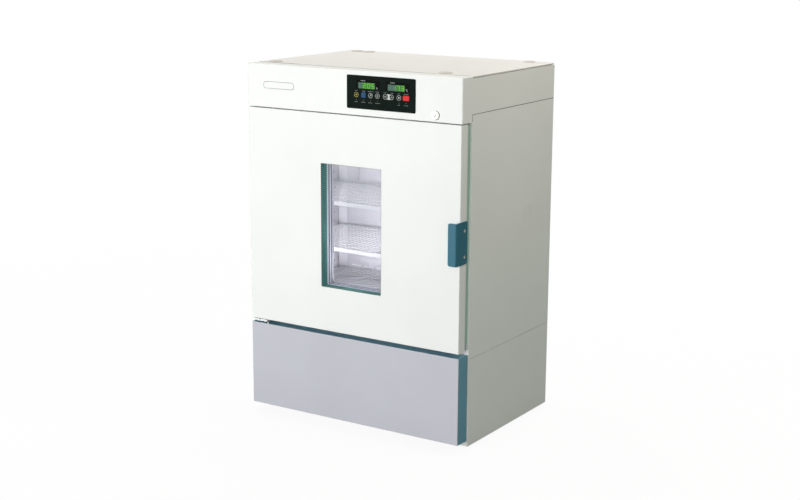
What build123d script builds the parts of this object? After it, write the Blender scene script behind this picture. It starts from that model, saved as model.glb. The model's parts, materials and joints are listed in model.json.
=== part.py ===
from build123d import *

import os

# A cooled laboratory incubator: one hinged, windowed door, three wire shelves, a keypad head
# and a compressor bay below. Millimetres, +Z up, the front faces -Y. The origin is the middle
# of the overall box, on the floor under the feet. Depths are measured back from the front plane
# that the door and the head share.

os.makedirs("parts", exist_ok=True)

# Overall size
WIDTH, HEIGHT = 700.0, 1018.0
BODY_DEPTH = 512.0
HANDLE_PROUD = 24.0
SPACER_DEPTH = 44.0
FOOT_HEIGHT = 10.0

# Stock and clearances
SHEET = 1.5
SLACK = 0.2  # between pieces that lie against each other
GAP = 0.3  # between pieces that move apart
PIN_CLEARANCE = 0.05  # between a pin or shaft and its bore

SIDE = WIDTH / 2
INNER_SIDE = SIDE - SHEET
FRONT = HANDLE_PROUD - (HANDLE_PROUD + BODY_DEPTH + SPACER_DEPTH) / 2
REAR = FRONT + BODY_DEPTH

# Heights above the floor
BAY_TOP = 256.0
COVER_Z = (26.5, 270.0)
DOOR_Z = (283.0, 895.5)
HEAD_Z = 898.5
HEAD_SIDE_Z = 919.0
LID_SEAT_Z = 1012.0
LID_Z = (1014.5, HEIGHT)

# Depths behind the front plane
COVER_DEPTH = 46.5
SKIN_DEPTH = 32.0
CABINET_DEPTH = 50.0
MOUTH_DEPTH = 13.0
LINER_PLUG_DEPTH = 60.0
SHELF_DEPTH = (100.0, 390.0)
DUCT_DEPTH = 397.0
CHAMBER_DEPTH = 467.0

# Chamber, door and window
CHAMBER_X, CHAMBER_Z = 310.0, (335.0, 845.0)
DOOR_X = 347.5
PLUG_X, PLUG_Z = 300.0, (341.0, 839.0)
WINDOW_X, WINDOW_Z = 98.75, (409.0, 757.0)

# Hinge pins, door lock and cable port
HINGE_X, HINGE_DEPTH = -340.0, 16.0
PIN_RADIUS, PIN_SHOULDER = 4.0, 7.0
BUSH_RADIUS, BUSH_LENGTH = 5.5, 14.0
LOCK_X, LOCK_Z = 268.0, 916.0
LOCK_RIM_RADIUS, LOCK_TUBE_RADIUS, LOCK_PLUG_RADIUS = 12.0, 9.0, 6.0
CAM_REACH, CAM_RADIUS, CAM_DEPTH = 23.0, 5.0, (23.0, 25.0)
PORT_DEPTH, PORT_Z = 365.0, 604.0
PORT_RADIUS, PORT_TUBE_RADIUS, PORT_HEAD_RADIUS = 20.0, 23.0, 25.0

# Control panel
PANEL_X, PANEL_Z = (-11.0, 207.0), (916.0, 1006.0)
PANEL_PROUD, PANEL_BACK, PANEL_MARGIN = 1.0, 2.0, 6.0
DISPLAY_SIZE, DISPLAY_X, DISPLAY_Z = (74.0, 25.0), (58.0, 152.0), 982.5
BUTTON_Z, BUTTON_RADIUS, BUTTON_PROUD, BUTTON_RIM = 954.0, 7.4, 2.2, 1.2
ROUND_BUTTONS = {
    "button_run": 20.7,
    "button_select": 66.1,
    "button_set": 88.5,
    "button_down": 113.1,
    "button_up": 133.5,
    "button_enter": 156.2,
}
SQUARE_BUTTONS = {"button_mode": (43.8, 14.0, 14.0), "button_stop": (178.0, 20.0, 13.5)}

# Shelves
SHELF_TOPS = {"shelf_upper": 634.0, "shelf_middle": 501.0, "shelf_lower": 368.0}
SHELF_X = 297.0
WIRE_RADIUS, WIRE_PITCH, WIRE_COUNT = 1.25, 16.3, 37
WIRE_WELD = 0.6  # how deep the wires sink into the bars below them
SHELF_BAR, REAR_BAR_TALL = (4.0, 11.0), 4.0
UPRIGHT_X, UPRIGHT_Z, UPRIGHT_WIDTH = (303.6, 306.0), (350.0, 830.0), 14.0
UPRIGHT_DEPTHS = (135.0, 350.0)

# Fans
FAN_Z = 765.0
FAN_RADIUS, HUB_RADIUS, SHAFT_RADIUS = 68.0, 18.0, 3.0
BLADE_THICK, BLADE_WIDTH, BLADE_PITCH = 2.0, 34.0, 28.0
SHAFT_BORE = SHAFT_RADIUS + PIN_CLEARANCE
BAY_FAN_X, BAY_FAN_Z = 170.0, 130.0


def back(depth):
    """The Y of a plane this far behind the front plane."""
    return FRONT + depth


def span(centre, size):
    """The two limits of a length laid out about its centre."""
    return (centre - size / 2, centre + size / 2)


def block(x, y, z, mode=Mode.ADD):
    """A box between two limits in each of x, y and z, given in either order."""
    with Locations(((x[0] + x[1]) / 2, (y[0] + y[1]) / 2, (z[0] + z[1]) / 2)):
        Box(abs(x[1] - x[0]), abs(y[1] - y[0]), abs(z[1] - z[0]), mode=mode)


def bar(axis, at, limits, radius, mode=Mode.ADD):
    """A cylinder along an axis between two limits; at holds the other two coordinates."""
    middle = (limits[0] + limits[1]) / 2
    places = {"X": (middle, *at), "Y": (at[0], middle, at[1]), "Z": (*at, middle)}
    turns = {"X": (0, 90, 0), "Y": (90, 0, 0), "Z": (0, 0, 0)}
    with Locations(places[axis]):
        Cylinder(radius, limits[1] - limits[0], rotation=turns[axis], mode=mode)


def window_block(margin, depths, mode=Mode.ADD):
    """The window's outline, widened by margin all round, between two depths."""
    block(
        (-WINDOW_X - margin, WINDOW_X + margin),
        (back(depths[0]), back(depths[1])),
        (WINDOW_Z[0] - margin, WINDOW_Z[1] + margin),
        mode,
    )


def write(piece, label):
    """Names a finished piece and writes its STEP file."""
    piece.part.label = label
    export_step(piece.part, f"parts/{label}.step")


# ---------------------------------------------------------------- cabinet shell

TRAY_Z, TRAY_SHEET, TRAY_WALL, TRAY_LIP = FOOT_HEIGHT + 2, 2.0, 40.0, 8.0
TRAY_FRONT_X, TRAY_FRONT_HEIGHT = 327.0, 58.0
BAY_FLOOR = TRAY_Z + TRAY_SHEET + SLACK
with BuildPart() as base_frame:
    tray_x = INNER_SIDE - SLACK
    tray_y = (back(CABINET_DEPTH + 4), REAR - 3)
    block((-tray_x, tray_x), tray_y, (TRAY_Z, TRAY_Z + TRAY_SHEET))
    for side in (-1, 1):
        block((side * tray_x, side * (tray_x - TRAY_SHEET)), tray_y, (TRAY_Z, TRAY_Z + TRAY_WALL))
    block((-tray_x, tray_x), (tray_y[1] - TRAY_SHEET, tray_y[1]), (TRAY_Z, TRAY_Z + TRAY_LIP))
    front_y = (tray_y[0], tray_y[0] + TRAY_SHEET)
    block((-TRAY_FRONT_X, TRAY_FRONT_X), front_y, (TRAY_Z, TRAY_Z + TRAY_FRONT_HEIGHT))
write(base_frame, "base_frame")

FOOT_RADIUS, FOOT_X, FOOT_DEPTHS = 22.0, 285.0, (130.0, BODY_DEPTH - 75)
with BuildPart() as feet:
    with Locations(*[(x, back(depth), 0) for x in (-FOOT_X, FOOT_X) for depth in FOOT_DEPTHS]):
        Cylinder(FOOT_RADIUS, TRAY_Z - SLACK, align=(Align.CENTER, Align.CENTER, Align.MIN))
    fillet(feet.faces().sort_by(Axis.Z).group_by(Axis.Z)[0].edges(), 2)
write(feet, "feet")

REAR_RETURN = 4.0  # how far a side panel turns in behind the rear panel's edge


def side_sheet(side, z, flange):
    """One side panel: a sheet with a wide flange at its front and a narrow one at its rear."""
    front_y, rear_y = back(CABINET_DEPTH), REAR - SLACK
    with BuildSketch(Plane.XY.offset(z[0])) as profile:
        with BuildLine():
            Polyline(
                (side * (SIDE - flange), front_y),
                (side * SIDE, front_y),
                (side * SIDE, rear_y),
                (side * (SIDE - REAR_RETURN), rear_y),
                (side * (SIDE - REAR_RETURN), rear_y - SHEET),
                (side * INNER_SIDE, rear_y - SHEET),
                (side * INNER_SIDE, front_y + SHEET),
                (side * (SIDE - flange), front_y + SHEET),
                close=True,
            )
        make_face()
    extrude(profile.sketch, amount=z[1] - z[0])


def front_bend(piece):
    """Rounds the long front outer edges of a side panel, as bent sheet is."""
    upright = piece.edges().filter_by(Axis.Z)
    outer = upright.filter_by(lambda e: abs(abs(e.center().X) - SIDE) < 0.01)
    fillet(outer.sort_by(Axis.Y).group_by(Axis.Y)[0], 1.4)


UPPER_SIDE_Z = (BAY_TOP + 1, HEAD_SIDE_Z - SHEET)
UPPER_FLANGE, LOWER_FLANGE = 12.0, 22.0

with BuildPart() as left_side_panel:
    side_sheet(-1, UPPER_SIDE_Z, UPPER_FLANGE)
    front_bend(left_side_panel)
write(left_side_panel, "left_side_panel")

PORT_AT = (back(PORT_DEPTH), PORT_Z)
with BuildPart() as right_side_panel:
    side_sheet(1, UPPER_SIDE_Z, UPPER_FLANGE)
    front_bend(right_side_panel)
    bar("X", PORT_AT, (SIDE - 5, SIDE + 5), PORT_HEAD_RADIUS + GAP, Mode.SUBTRACT)
write(right_side_panel, "right_side_panel")

with BuildPart() as lower_side_panels:
    for side in (-1, 1):
        side_sheet(side, (FOOT_HEIGHT, BAY_TOP), LOWER_FLANGE)
    front_bend(lower_side_panels)
write(lower_side_panels, "lower_side_panels")

REAR_X = SIDE - REAR_RETURN - 0.5
STIFFENER_SIZE, STIFFENER_Z, STIFFENER_WIDTH, STIFFENER_PROUD = (400.0, 560.0), 590.0, 4.0, 1.0
with BuildPart() as rear_panel:
    block((-REAR_X, REAR_X), (REAR - SHEET, REAR), UPPER_SIDE_Z)
    with BuildSketch(Plane.XZ.offset(-REAR)):
        with Locations((0, STIFFENER_Z)):
            RectangleRounded(*STIFFENER_SIZE, 30)
            inner = [length - 2 * STIFFENER_WIDTH for length in STIFFENER_SIZE]
            RectangleRounded(*inner, 30 - STIFFENER_WIDTH, mode=Mode.SUBTRACT)
    extrude(amount=-STIFFENER_PROUD)
write(rear_panel, "rear_panel")

INLET_X, INLET_Z = -250.0, 200.0
INLET_BODY, INLET_PLATE, INLET_MOUTH, INLET_BODY_DEPTH = (28.0, 20.0), (50.0, 30.0), (24.0, 16.0), 22.0
LOUVRE_AT, LOUVRE_PITCH, LOUVRE_COUNT, LOUVRE_SIZE = (60.0, 128.0), (105.0, 15.0), (4, 12), (90.0, 6.0)
with BuildPart() as lower_rear_grille:
    block((-REAR_X, REAR_X), (REAR - SHEET, REAR), (TRAY_Z, BAY_TOP))
    with BuildSketch(Plane.XZ.offset(-REAR)):
        with Locations(LOUVRE_AT):
            with GridLocations(*LOUVRE_PITCH, *LOUVRE_COUNT):
                SlotOverall(*LOUVRE_SIZE)
    extrude(amount=SHEET * 2, both=True, mode=Mode.SUBTRACT)
    cutout_x, cutout_z = span(INLET_X, INLET_BODY[0] + 2), span(INLET_Z, INLET_BODY[1] + 2)
    block(cutout_x, (REAR - 3, REAR + 1), cutout_z, Mode.SUBTRACT)
write(lower_rear_grille, "lower_rear_grille")

INLET_PINS = ((-7.0, -2.0), (0.0, 3.0), (7.0, -2.0))
with BuildPart() as mains_inlet:
    inlet_bottom = REAR - 12
    block(
        span(INLET_X, INLET_BODY[0]), (REAR - INLET_BODY_DEPTH, REAR + SLACK), span(INLET_Z, INLET_BODY[1])
    )
    block(span(INLET_X, INLET_PLATE[0]), (REAR + SLACK, REAR + 4), span(INLET_Z, INLET_PLATE[1]))
    block(
        span(INLET_X, INLET_MOUTH[0]), (inlet_bottom, REAR + 5), span(INLET_Z, INLET_MOUTH[1]), Mode.SUBTRACT
    )
    with Locations(*[(INLET_X + x, inlet_bottom, INLET_Z + z) for x, z in INLET_PINS]):
        Box(2, 16, 5)
    plate_corners = mains_inlet.edges().filter_by(Axis.Y).group_by(Axis.X)
    fillet(plate_corners[0] + plate_corners[-1], 3)
write(mains_inlet, "mains_inlet")

SPACER_X, SPACER_Z = 255.0, (800.0, 870.0)
SPACER_CROWN, SPACER_ROOT, SPACER_FOOT = 20.0, 28.0, 45.0
with BuildPart() as rear_spacers:
    low_y, high_y = REAR + 1, REAR + SPACER_DEPTH - 1
    for x in (-SPACER_X, SPACER_X):
        with BuildSketch(Plane.XY.offset(SPACER_Z[0])):
            with BuildLine():
                Polyline(
                    (x - SPACER_FOOT, low_y),
                    (x - SPACER_ROOT, low_y),
                    (x - SPACER_CROWN, high_y),
                    (x + SPACER_CROWN, high_y),
                    (x + SPACER_ROOT, low_y),
                    (x + SPACER_FOOT, low_y),
                )
                offset(amount=1, side=Side.BOTH)
            make_face()
        extrude(amount=SPACER_Z[1] - SPACER_Z[0])
write(rear_spacers, "rear_spacers")

MOUTH_X, MOUTH_Z, CHAMBER_CORNER = 337.5, (262.0, HEAD_Z - SLACK), 8.0
with BuildPart() as mouth_frame:
    block((-MOUTH_X, MOUTH_X), (back(CABINET_DEPTH), back(CABINET_DEPTH + MOUTH_DEPTH)), MOUTH_Z)
    block((-CHAMBER_X, CHAMBER_X), (back(40), back(70)), CHAMBER_Z, Mode.SUBTRACT)
    corners = mouth_frame.edges().filter_by(Axis.Y).filter_by(lambda e: abs(e.center().X) < CHAMBER_X + 1)
    fillet(corners, CHAMBER_CORNER)
write(mouth_frame, "mouth_frame")

# ---------------------------------------------------------------- chamber

LINER_FRONT, LINER_REAR = CABINET_DEPTH + MOUTH_DEPTH + SLACK, CHAMBER_DEPTH + SHEET
with BuildPart() as chamber_liner:
    block(
        (-CHAMBER_X - SHEET, CHAMBER_X + SHEET),
        (back(LINER_FRONT), back(LINER_REAR)),
        (CHAMBER_Z[0] - SHEET, CHAMBER_Z[1] + SHEET),
    )
    fillet(chamber_liner.edges().filter_by(Axis.Y), CHAMBER_CORNER + SHEET)
    with BuildSketch(Plane.XZ.offset(-back(LINER_FRONT))):
        with Locations((0, sum(CHAMBER_Z) / 2)):
            RectangleRounded(2 * CHAMBER_X, CHAMBER_Z[1] - CHAMBER_Z[0], CHAMBER_CORNER)
    extrude(amount=-(CHAMBER_DEPTH - LINER_FRONT), mode=Mode.SUBTRACT)
    bar("X", PORT_AT, (CHAMBER_X - 5, CHAMBER_X + 5), PORT_TUBE_RADIUS + SLACK, Mode.SUBTRACT)
write(chamber_liner, "chamber_liner")

with BuildPart() as chamber_insulation:
    foam_x, foam_y = INNER_SIDE - SLACK, (back(LINER_FRONT + SLACK), REAR - SHEET - 2)
    hole_margin = SHEET + SLACK
    block((-foam_x, foam_x), foam_y, (BAY_TOP + 2, HEAD_Z - SHEET))
    block(
        (-CHAMBER_X - hole_margin, CHAMBER_X + hole_margin),
        (foam_y[0] - 5, back(LINER_REAR + SLACK)),
        (CHAMBER_Z[0] - hole_margin, CHAMBER_Z[1] + hole_margin),
        Mode.SUBTRACT,
    )
    bar("X", PORT_AT, (CHAMBER_X, SIDE), PORT_TUBE_RADIUS + SLACK, Mode.SUBTRACT)
    bar("X", PORT_AT, (SIDE - 4.2, SIDE), PORT_HEAD_RADIUS + GAP, Mode.SUBTRACT)
write(chamber_insulation, "chamber_insulation")

PORT_HEAD_THICK = 3.5
with BuildPart() as port_tube:
    bar("X", PORT_AT, (CHAMBER_X - 2, SIDE - PORT_HEAD_THICK - 0.5), PORT_TUBE_RADIUS)
    bar("X", PORT_AT, (CHAMBER_X - 5, SIDE), PORT_RADIUS + PIN_CLEARANCE, Mode.SUBTRACT)
write(port_tube, "port_tube")

with BuildPart() as port_plug:
    bar("X", PORT_AT, (CHAMBER_X, SIDE - PORT_HEAD_THICK), PORT_RADIUS)
    bar("X", PORT_AT, (SIDE - PORT_HEAD_THICK, SIDE), PORT_HEAD_RADIUS)
    fillet(port_plug.edges().group_by(Axis.X)[-1], 1)
write(port_plug, "port_plug")

DUCT_X, DUCT_SIDE_DEPTH = 304.0, 60.0
RETURN_Z, RETURN_PITCH, RETURN_COUNT, RETURN_SLOT = 366.0, (46.0, 12.0), (12, 2), (36.0, 5.0)
with BuildPart() as duct_panel:
    duct_z = (CHAMBER_Z[0] + 2, CHAMBER_Z[1] - 2)
    block((-DUCT_X, DUCT_X), (back(DUCT_DEPTH), back(DUCT_DEPTH + SHEET)), duct_z)
    for side in (-1, 1):
        flange_x = (side * DUCT_X, side * (DUCT_X - SHEET))
        block(flange_x, (back(DUCT_DEPTH), back(DUCT_DEPTH + DUCT_SIDE_DEPTH)), duct_z)
    with BuildSketch(Plane.XZ.offset(-back(DUCT_DEPTH))):
        with Locations((0, RETURN_Z)):
            with GridLocations(*RETURN_PITCH, *RETURN_COUNT):
                SlotOverall(*RETURN_SLOT)
        with Locations((0, FAN_Z)):
            for ring in range(1, 5):
                with PolarLocations(14 * ring + 4, 6 * ring):
                    Circle(4)
    extrude(amount=5, both=True, mode=Mode.SUBTRACT)
write(duct_panel, "duct_panel")


def finned_coil(x, y, z, fins, tube_rows):
    """A coil block: thin upright fins on straight tubes that square bends join at their ends."""
    fin_thick, tube_radius, tube_reach, bend_half = 1.0, 4.0, 8.0, 5.0
    middle_y = sum(y) / 2
    pitch = (z[1] - z[0]) / tube_rows
    with Locations((sum(x) / 2, middle_y, sum(z) / 2)):
        with GridLocations((x[1] - x[0] - fin_thick) / (fins - 1), 1, fins, 1):
            Box(fin_thick, y[1] - y[0], z[1] - z[0])
    for row in range(tube_rows):
        height = z[0] + (row + 0.5) * pitch
        bar("X", (middle_y, height), (x[0] - tube_reach, x[1] + tube_reach), tube_radius)
        if row < tube_rows - 1:
            bend_x = x[0] - tube_reach if row % 2 else x[1] + tube_reach
            bend_z = (height - bend_half, height + pitch - bend_half)
            block(span(bend_x, 2 * bend_half), span(middle_y, 2 * bend_half), bend_z)


with BuildPart() as evaporator:
    finned_coil((-180, 180), (back(408), back(448)), (400, 520), fins=31, tube_rows=4)
write(evaporator, "evaporator")

HEATER_X, HEATER_Z, HEATER_Y = 200.0, (560.0, 600.0), back(440)
with BuildPart() as heater:
    with BuildLine(Plane.XZ.offset(-HEATER_Y)) as heater_path:
        FilletPolyline(
            (-HEATER_X, HEATER_Z[0]),
            (HEATER_X, HEATER_Z[0]),
            (HEATER_X, HEATER_Z[1]),
            (-HEATER_X, HEATER_Z[1]),
            radius=18,
        )
    with BuildSketch(Plane.YZ.offset(-HEATER_X)):
        with Locations((HEATER_Y, HEATER_Z[0])):
            Circle(4)
    sweep(path=heater_path.line)
write(heater, "heater")

MOTOR_RADIUS, MOTOR_DEPTHS = 42.0, (432.0, CHAMBER_DEPTH - 0.5)
with BuildPart() as fan_motor:
    bar("Y", (0, FAN_Z), (back(MOTOR_DEPTHS[0]), back(MOTOR_DEPTHS[1])), MOTOR_RADIUS)
    fillet(fan_motor.edges().group_by(Axis.Y)[0], 4)
    with Locations((0, back(MOTOR_DEPTHS[1] - 2), FAN_Z)):
        Box(120, 4, 30)
    bar("Y", (0, FAN_Z), (back(430), back(452)), SHAFT_BORE, Mode.SUBTRACT)
write(fan_motor, "fan_motor")


def axial_fan(x, z, y, shaft_end, blades):
    """A hub with pitched blades between two Y limits, and a shaft back to shaft_end."""
    bar("Y", (x, z), y, HUB_RADIUS)
    bar("Y", (x, z), (y[1] - 1, shaft_end), SHAFT_RADIUS)
    blade_root = HUB_RADIUS - 2
    for blade in range(blades):
        spoke = Location((x, sum(y) / 2, z), (0, -360 * blade / blades, 0))
        pitched = Location(((blade_root + FAN_RADIUS) / 2, 0, 0), (BLADE_PITCH, 0, 0))
        with Locations(spoke * pitched):
            Box(FAN_RADIUS - blade_root, BLADE_THICK, BLADE_WIDTH)


with BuildPart() as circulation_fan:
    axial_fan(0, FAN_Z, (back(406), back(426)), back(448), blades=5)
write(circulation_fan, "circulation_fan")

PROBE_X, PROBE_Z = -240.0, (640.0, 700.0)
with BuildPart() as temperature_probe:
    bar("Y", (PROBE_X, PROBE_Z[1]), (back(DUCT_DEPTH - 11), back(DUCT_DEPTH - SLACK)), 5)
    bar("Z", (PROBE_X, back(DUCT_DEPTH - 9)), PROBE_Z, 2.5)
write(temperature_probe, "temperature_probe")

UPRIGHT_FOOT, SLOT_Z, SLOT_PITCH, SLOT_ROWS = 6.0, 590.0, 25.0, range(-9, 10)
with BuildPart() as shelf_uprights:
    for side in (-1, 1):
        upright_x = (side * UPRIGHT_X[0], side * UPRIGHT_X[1])
        foot_x = (side * UPRIGHT_X[1], side * (CHAMBER_X - SLACK))
        for depth in UPRIGHT_DEPTHS:
            upright_y = span(back(depth), UPRIGHT_WIDTH)
            block(upright_x, upright_y, UPRIGHT_Z)
            for foot_z in (UPRIGHT_Z[0], UPRIGHT_Z[1] - UPRIGHT_FOOT):
                block(foot_x, upright_y, (foot_z, foot_z + UPRIGHT_FOOT))
            slots = [(side * UPRIGHT_X[0], back(depth), SLOT_Z + row * SLOT_PITCH) for row in SLOT_ROWS]
            with Locations(*slots):
                Box(6, 7, 9, mode=Mode.SUBTRACT)
write(shelf_uprights, "shelf_uprights")

BAR_TOP = 2 * WIRE_RADIUS - WIRE_WELD  # how far a shelf's bars lie below its top
CLIP_X, CLIP_SIZE, CLIP_HOOK = 297.5, (11.8, 10.0, 3.0), (1.8, 10.0, 8.0)
with BuildPart() as shelf_clips:
    clip_drop = BAR_TOP + SHELF_BAR[1] + GAP + 1.6
    for side in (-1, 1):
        clips = [
            (side * CLIP_X, back(depth), top - clip_drop)
            for depth in UPRIGHT_DEPTHS
            for top in SHELF_TOPS.values()
        ]
        with Locations(*clips):
            Box(*CLIP_SIZE)
        with Locations(*[(x + side * 5, y, z - 4) for x, y, z in clips]):
            Box(*CLIP_HOOK)
write(shelf_clips, "shelf_clips")


def wire_shelf(top):
    """A shelf of front-to-back wires welded on a frame of flat bars."""
    thick, tall = SHELF_BAR
    bar_z = (top - BAR_TOP - tall, top - BAR_TOP)
    front, rear = back(SHELF_DEPTH[0]), back(SHELF_DEPTH[1])
    middle = (front + rear) / 2
    block((-SHELF_X, SHELF_X), (front, rear), bar_z)
    block(
        (-SHELF_X + thick, SHELF_X - thick),
        (front + thick, rear - thick),
        (bar_z[0] - 1, bar_z[1] + 1),
        Mode.SUBTRACT,
    )
    rear_cut_z = (bar_z[0] - 1, bar_z[1] - REAR_BAR_TALL)
    block((-SHELF_X + thick, SHELF_X - thick), (rear - thick, rear + 1), rear_cut_z, Mode.SUBTRACT)
    with Locations((0, middle, top - WIRE_RADIUS)):
        with GridLocations(WIRE_PITCH, 1, WIRE_COUNT, 1):
            Cylinder(WIRE_RADIUS, rear - front, rotation=(90, 0, 0))


for name, top in SHELF_TOPS.items():
    with BuildPart() as shelf:
        wire_shelf(top)
    write(shelf, name)

# ---------------------------------------------------------------- head

APERTURE_X = (PANEL_X[0] + PANEL_MARGIN, PANEL_X[1] - PANEL_MARGIN)
APERTURE_Z = (PANEL_Z[0] + PANEL_MARGIN, PANEL_Z[1] - PANEL_MARGIN)
HINGE_NOTCH_X = (-DOOR_X, -254.0)
CAM_SLOT_X, CAM_SLOT_DEPTH = (LOCK_X - 8, LOCK_X + 29), (20.0, 28.0)
CAM_SLOT_Y = (back(CAM_SLOT_DEPTH[0]), back(CAM_SLOT_DEPTH[1]))
LOCK_AT = (LOCK_X, LOCK_Z)
SEAT_X = 343.0
with BuildPart() as hood_shell:
    block((-SIDE, SIDE), (FRONT, REAR), (HEAD_SIDE_Z, HEIGHT))
    block((-SIDE, SIDE), (FRONT, back(CABINET_DEPTH)), (HEAD_Z, HEIGHT))
    fillet(hood_shell.edges().filter_by(Axis.Z).group_by(Axis.Y)[0], 4)
    top_edges = hood_shell.edges().filter_by(Axis.X).group_by(Axis.Z)[-1]
    fillet(top_edges.sort_by(Axis.Y)[0], 2.5)
    inside_y = (back(SHEET), REAR - SHEET)
    front_box_y = (back(SHEET), back(CABINET_DEPTH - SHEET))
    block((-INNER_SIDE, INNER_SIDE), inside_y, (HEAD_SIDE_Z - 5, HEIGHT - SHEET), Mode.SUBTRACT)
    block((-INNER_SIDE, INNER_SIDE), front_box_y, (HEAD_Z + SHEET, HEAD_SIDE_Z), Mode.SUBTRACT)
    lid_room_y = (back(CABINET_DEPTH - 2), REAR + 1)
    block((-SIDE - 1, SIDE + 1), lid_room_y, (LID_SEAT_Z, HEIGHT + 1), Mode.SUBTRACT)
    block((-INNER_SIDE, INNER_SIDE), (back(CABINET_DEPTH), REAR - SHEET), (LID_SEAT_Z - SHEET, LID_SEAT_Z))
    seat_hole_y = (back(CABINET_DEPTH - 2), REAR - 8)
    block((-SEAT_X, SEAT_X), seat_hole_y, (LID_SEAT_Z - 5, LID_SEAT_Z + 1), Mode.SUBTRACT)
    block(APERTURE_X, (back(-1), back(5)), APERTURE_Z, Mode.SUBTRACT)
    bar("Y", LOCK_AT, (back(-1), back(5)), LOCK_TUBE_RADIUS + SLACK, Mode.SUBTRACT)
    block(HINGE_NOTCH_X, (back(3), back(CABINET_DEPTH + 1)), (HEAD_Z - 1, HEAD_Z + 6), Mode.SUBTRACT)
    block(CAM_SLOT_X, CAM_SLOT_Y, (HEAD_Z - 1, HEAD_Z + 3), Mode.SUBTRACT)
write(hood_shell, "hood_shell")

LID_SHEET = 1.2
FRONT_PLUGS_X, REAR_PLUGS_X = (-308.0, 250.0), (-308.0, -264.0, 284.0)
PLUG_PLACES = [(x, back(80)) for x in FRONT_PLUGS_X] + [(x, REAR - 27) for x in REAR_PLUGS_X]
TOP_PLUG_RADIUS, TOP_PLUG_SHANK, TOP_PLUG_PROUD = 18.0, 8.7, 2.5
with BuildPart() as top_lid:
    block((-SIDE, SIDE), (back(CABINET_DEPTH), REAR), LID_Z)
    fillet(top_lid.edges().filter_by(Axis.Z).group_by(Axis.Y)[-1], 4)
    fillet(top_lid.faces().sort_by(Axis.Z)[-1].edges(), LID_SHEET)
    rib_z = (LID_SEAT_Z + 0.1, LID_Z[0] + 0.5)
    block((-SEAT_X - 3, SEAT_X + 3), (back(CABINET_DEPTH + 1), REAR - 4), rib_z)
    hollow_z = (LID_SEAT_Z - 1, HEIGHT - LID_SHEET)
    block((-SEAT_X - 0.5, SEAT_X + 0.5), (back(CABINET_DEPTH + 3), REAR - 7), hollow_z, Mode.SUBTRACT)
    with Locations(*[(x, y, HEIGHT) for x, y in PLUG_PLACES]):
        Cylinder(TOP_PLUG_SHANK + GAP, 8, mode=Mode.SUBTRACT)
write(top_lid, "top_lid")

with BuildPart() as top_plugs:
    with Locations(*[(x, y, HEIGHT + SLACK) for x, y in PLUG_PLACES]):
        Cylinder(TOP_PLUG_RADIUS, TOP_PLUG_PROUD - SLACK, align=(Align.CENTER, Align.CENTER, Align.MIN))
    fillet(top_plugs.edges().group_by(Axis.Z)[-1], 1.2)
    for x, y in PLUG_PLACES:
        bar("Z", (x, y), (HEIGHT - 6, HEIGHT + 1), TOP_PLUG_SHANK)
write(top_plugs, "top_plugs")

with BuildPart() as control_panel:
    with BuildSketch(Plane.XZ.offset(-FRONT)):
        with Locations((sum(PANEL_X) / 2, sum(PANEL_Z) / 2)):
            RectangleRounded(PANEL_X[1] - PANEL_X[0], PANEL_Z[1] - PANEL_Z[0], 4)
    extrude(amount=PANEL_PROUD)
    block(
        (APERTURE_X[0] + SLACK, APERTURE_X[1] - SLACK),
        (FRONT, back(PANEL_BACK)),
        (APERTURE_Z[0] + SLACK, APERTURE_Z[1] - SLACK),
    )
    with BuildSketch(Plane.XZ.offset(-FRONT)):
        with Locations(*[(x, DISPLAY_Z) for x in DISPLAY_X]):
            RectangleRounded(DISPLAY_SIZE[0] + SLACK, DISPLAY_SIZE[1] + SLACK, 1.5)
        with Locations(*[(x, BUTTON_Z) for x in ROUND_BUTTONS.values()]):
            Circle(BUTTON_RADIUS + GAP)
        for x, wide, tall in SQUARE_BUTTONS.values():
            with Locations((x, BUTTON_Z)):
                RectangleRounded(wide + 2 * GAP, tall + 2 * GAP, 3 + GAP)
    extrude(amount=5, both=True, mode=Mode.SUBTRACT)
write(control_panel, "control_panel")

DISPLAY_PROUD, DISPLAY_THICK = 0.6, 9.0
with BuildPart() as display_modules:
    with BuildSketch(Plane.XZ.offset(-back(-DISPLAY_PROUD))):
        with Locations(*[(x, DISPLAY_Z) for x in DISPLAY_X]):
            RectangleRounded(DISPLAY_SIZE[0] - SLACK, DISPLAY_SIZE[1] - SLACK, 1.4)
    extrude(amount=-DISPLAY_THICK)
write(display_modules, "display_modules")


def button(x, outline):
    """A cap with a softened front edge, a retaining rim behind the panel and a switch stem."""
    rim_depth = PANEL_BACK + GAP
    with BuildSketch(Plane.XZ.offset(-back(-BUTTON_PROUD))) as cap:
        outline(x, 0)
    extrude(cap.sketch, amount=-(BUTTON_PROUD + rim_depth))
    fillet(faces().sort_by(Axis.Y)[0].edges(), 0.7)
    with BuildSketch(Plane.XZ.offset(-back(rim_depth))) as rim:
        outline(x, BUTTON_RIM)
    extrude(rim.sketch, amount=-1)
    bar("Y", (x, BUTTON_Z), (back(rim_depth), back(8)), 2.5)


def round_outline(x, margin):
    """A round button's outline, widened by margin."""
    with Locations((x, BUTTON_Z)):
        Circle(BUTTON_RADIUS + margin)


for name, x in ROUND_BUTTONS.items():
    with BuildPart() as round_button:
        button(x, round_outline)
    write(round_button, name)

for name, (x, wide, tall) in SQUARE_BUTTONS.items():

    def square_outline(x, margin):
        """A rounded square button's outline, widened by margin."""
        with Locations((x, BUTTON_Z)):
            RectangleRounded(wide + 2 * margin, tall + 2 * margin, 3)

    with BuildPart() as square_button:
        button(x, square_outline)
    write(square_button, name)

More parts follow.
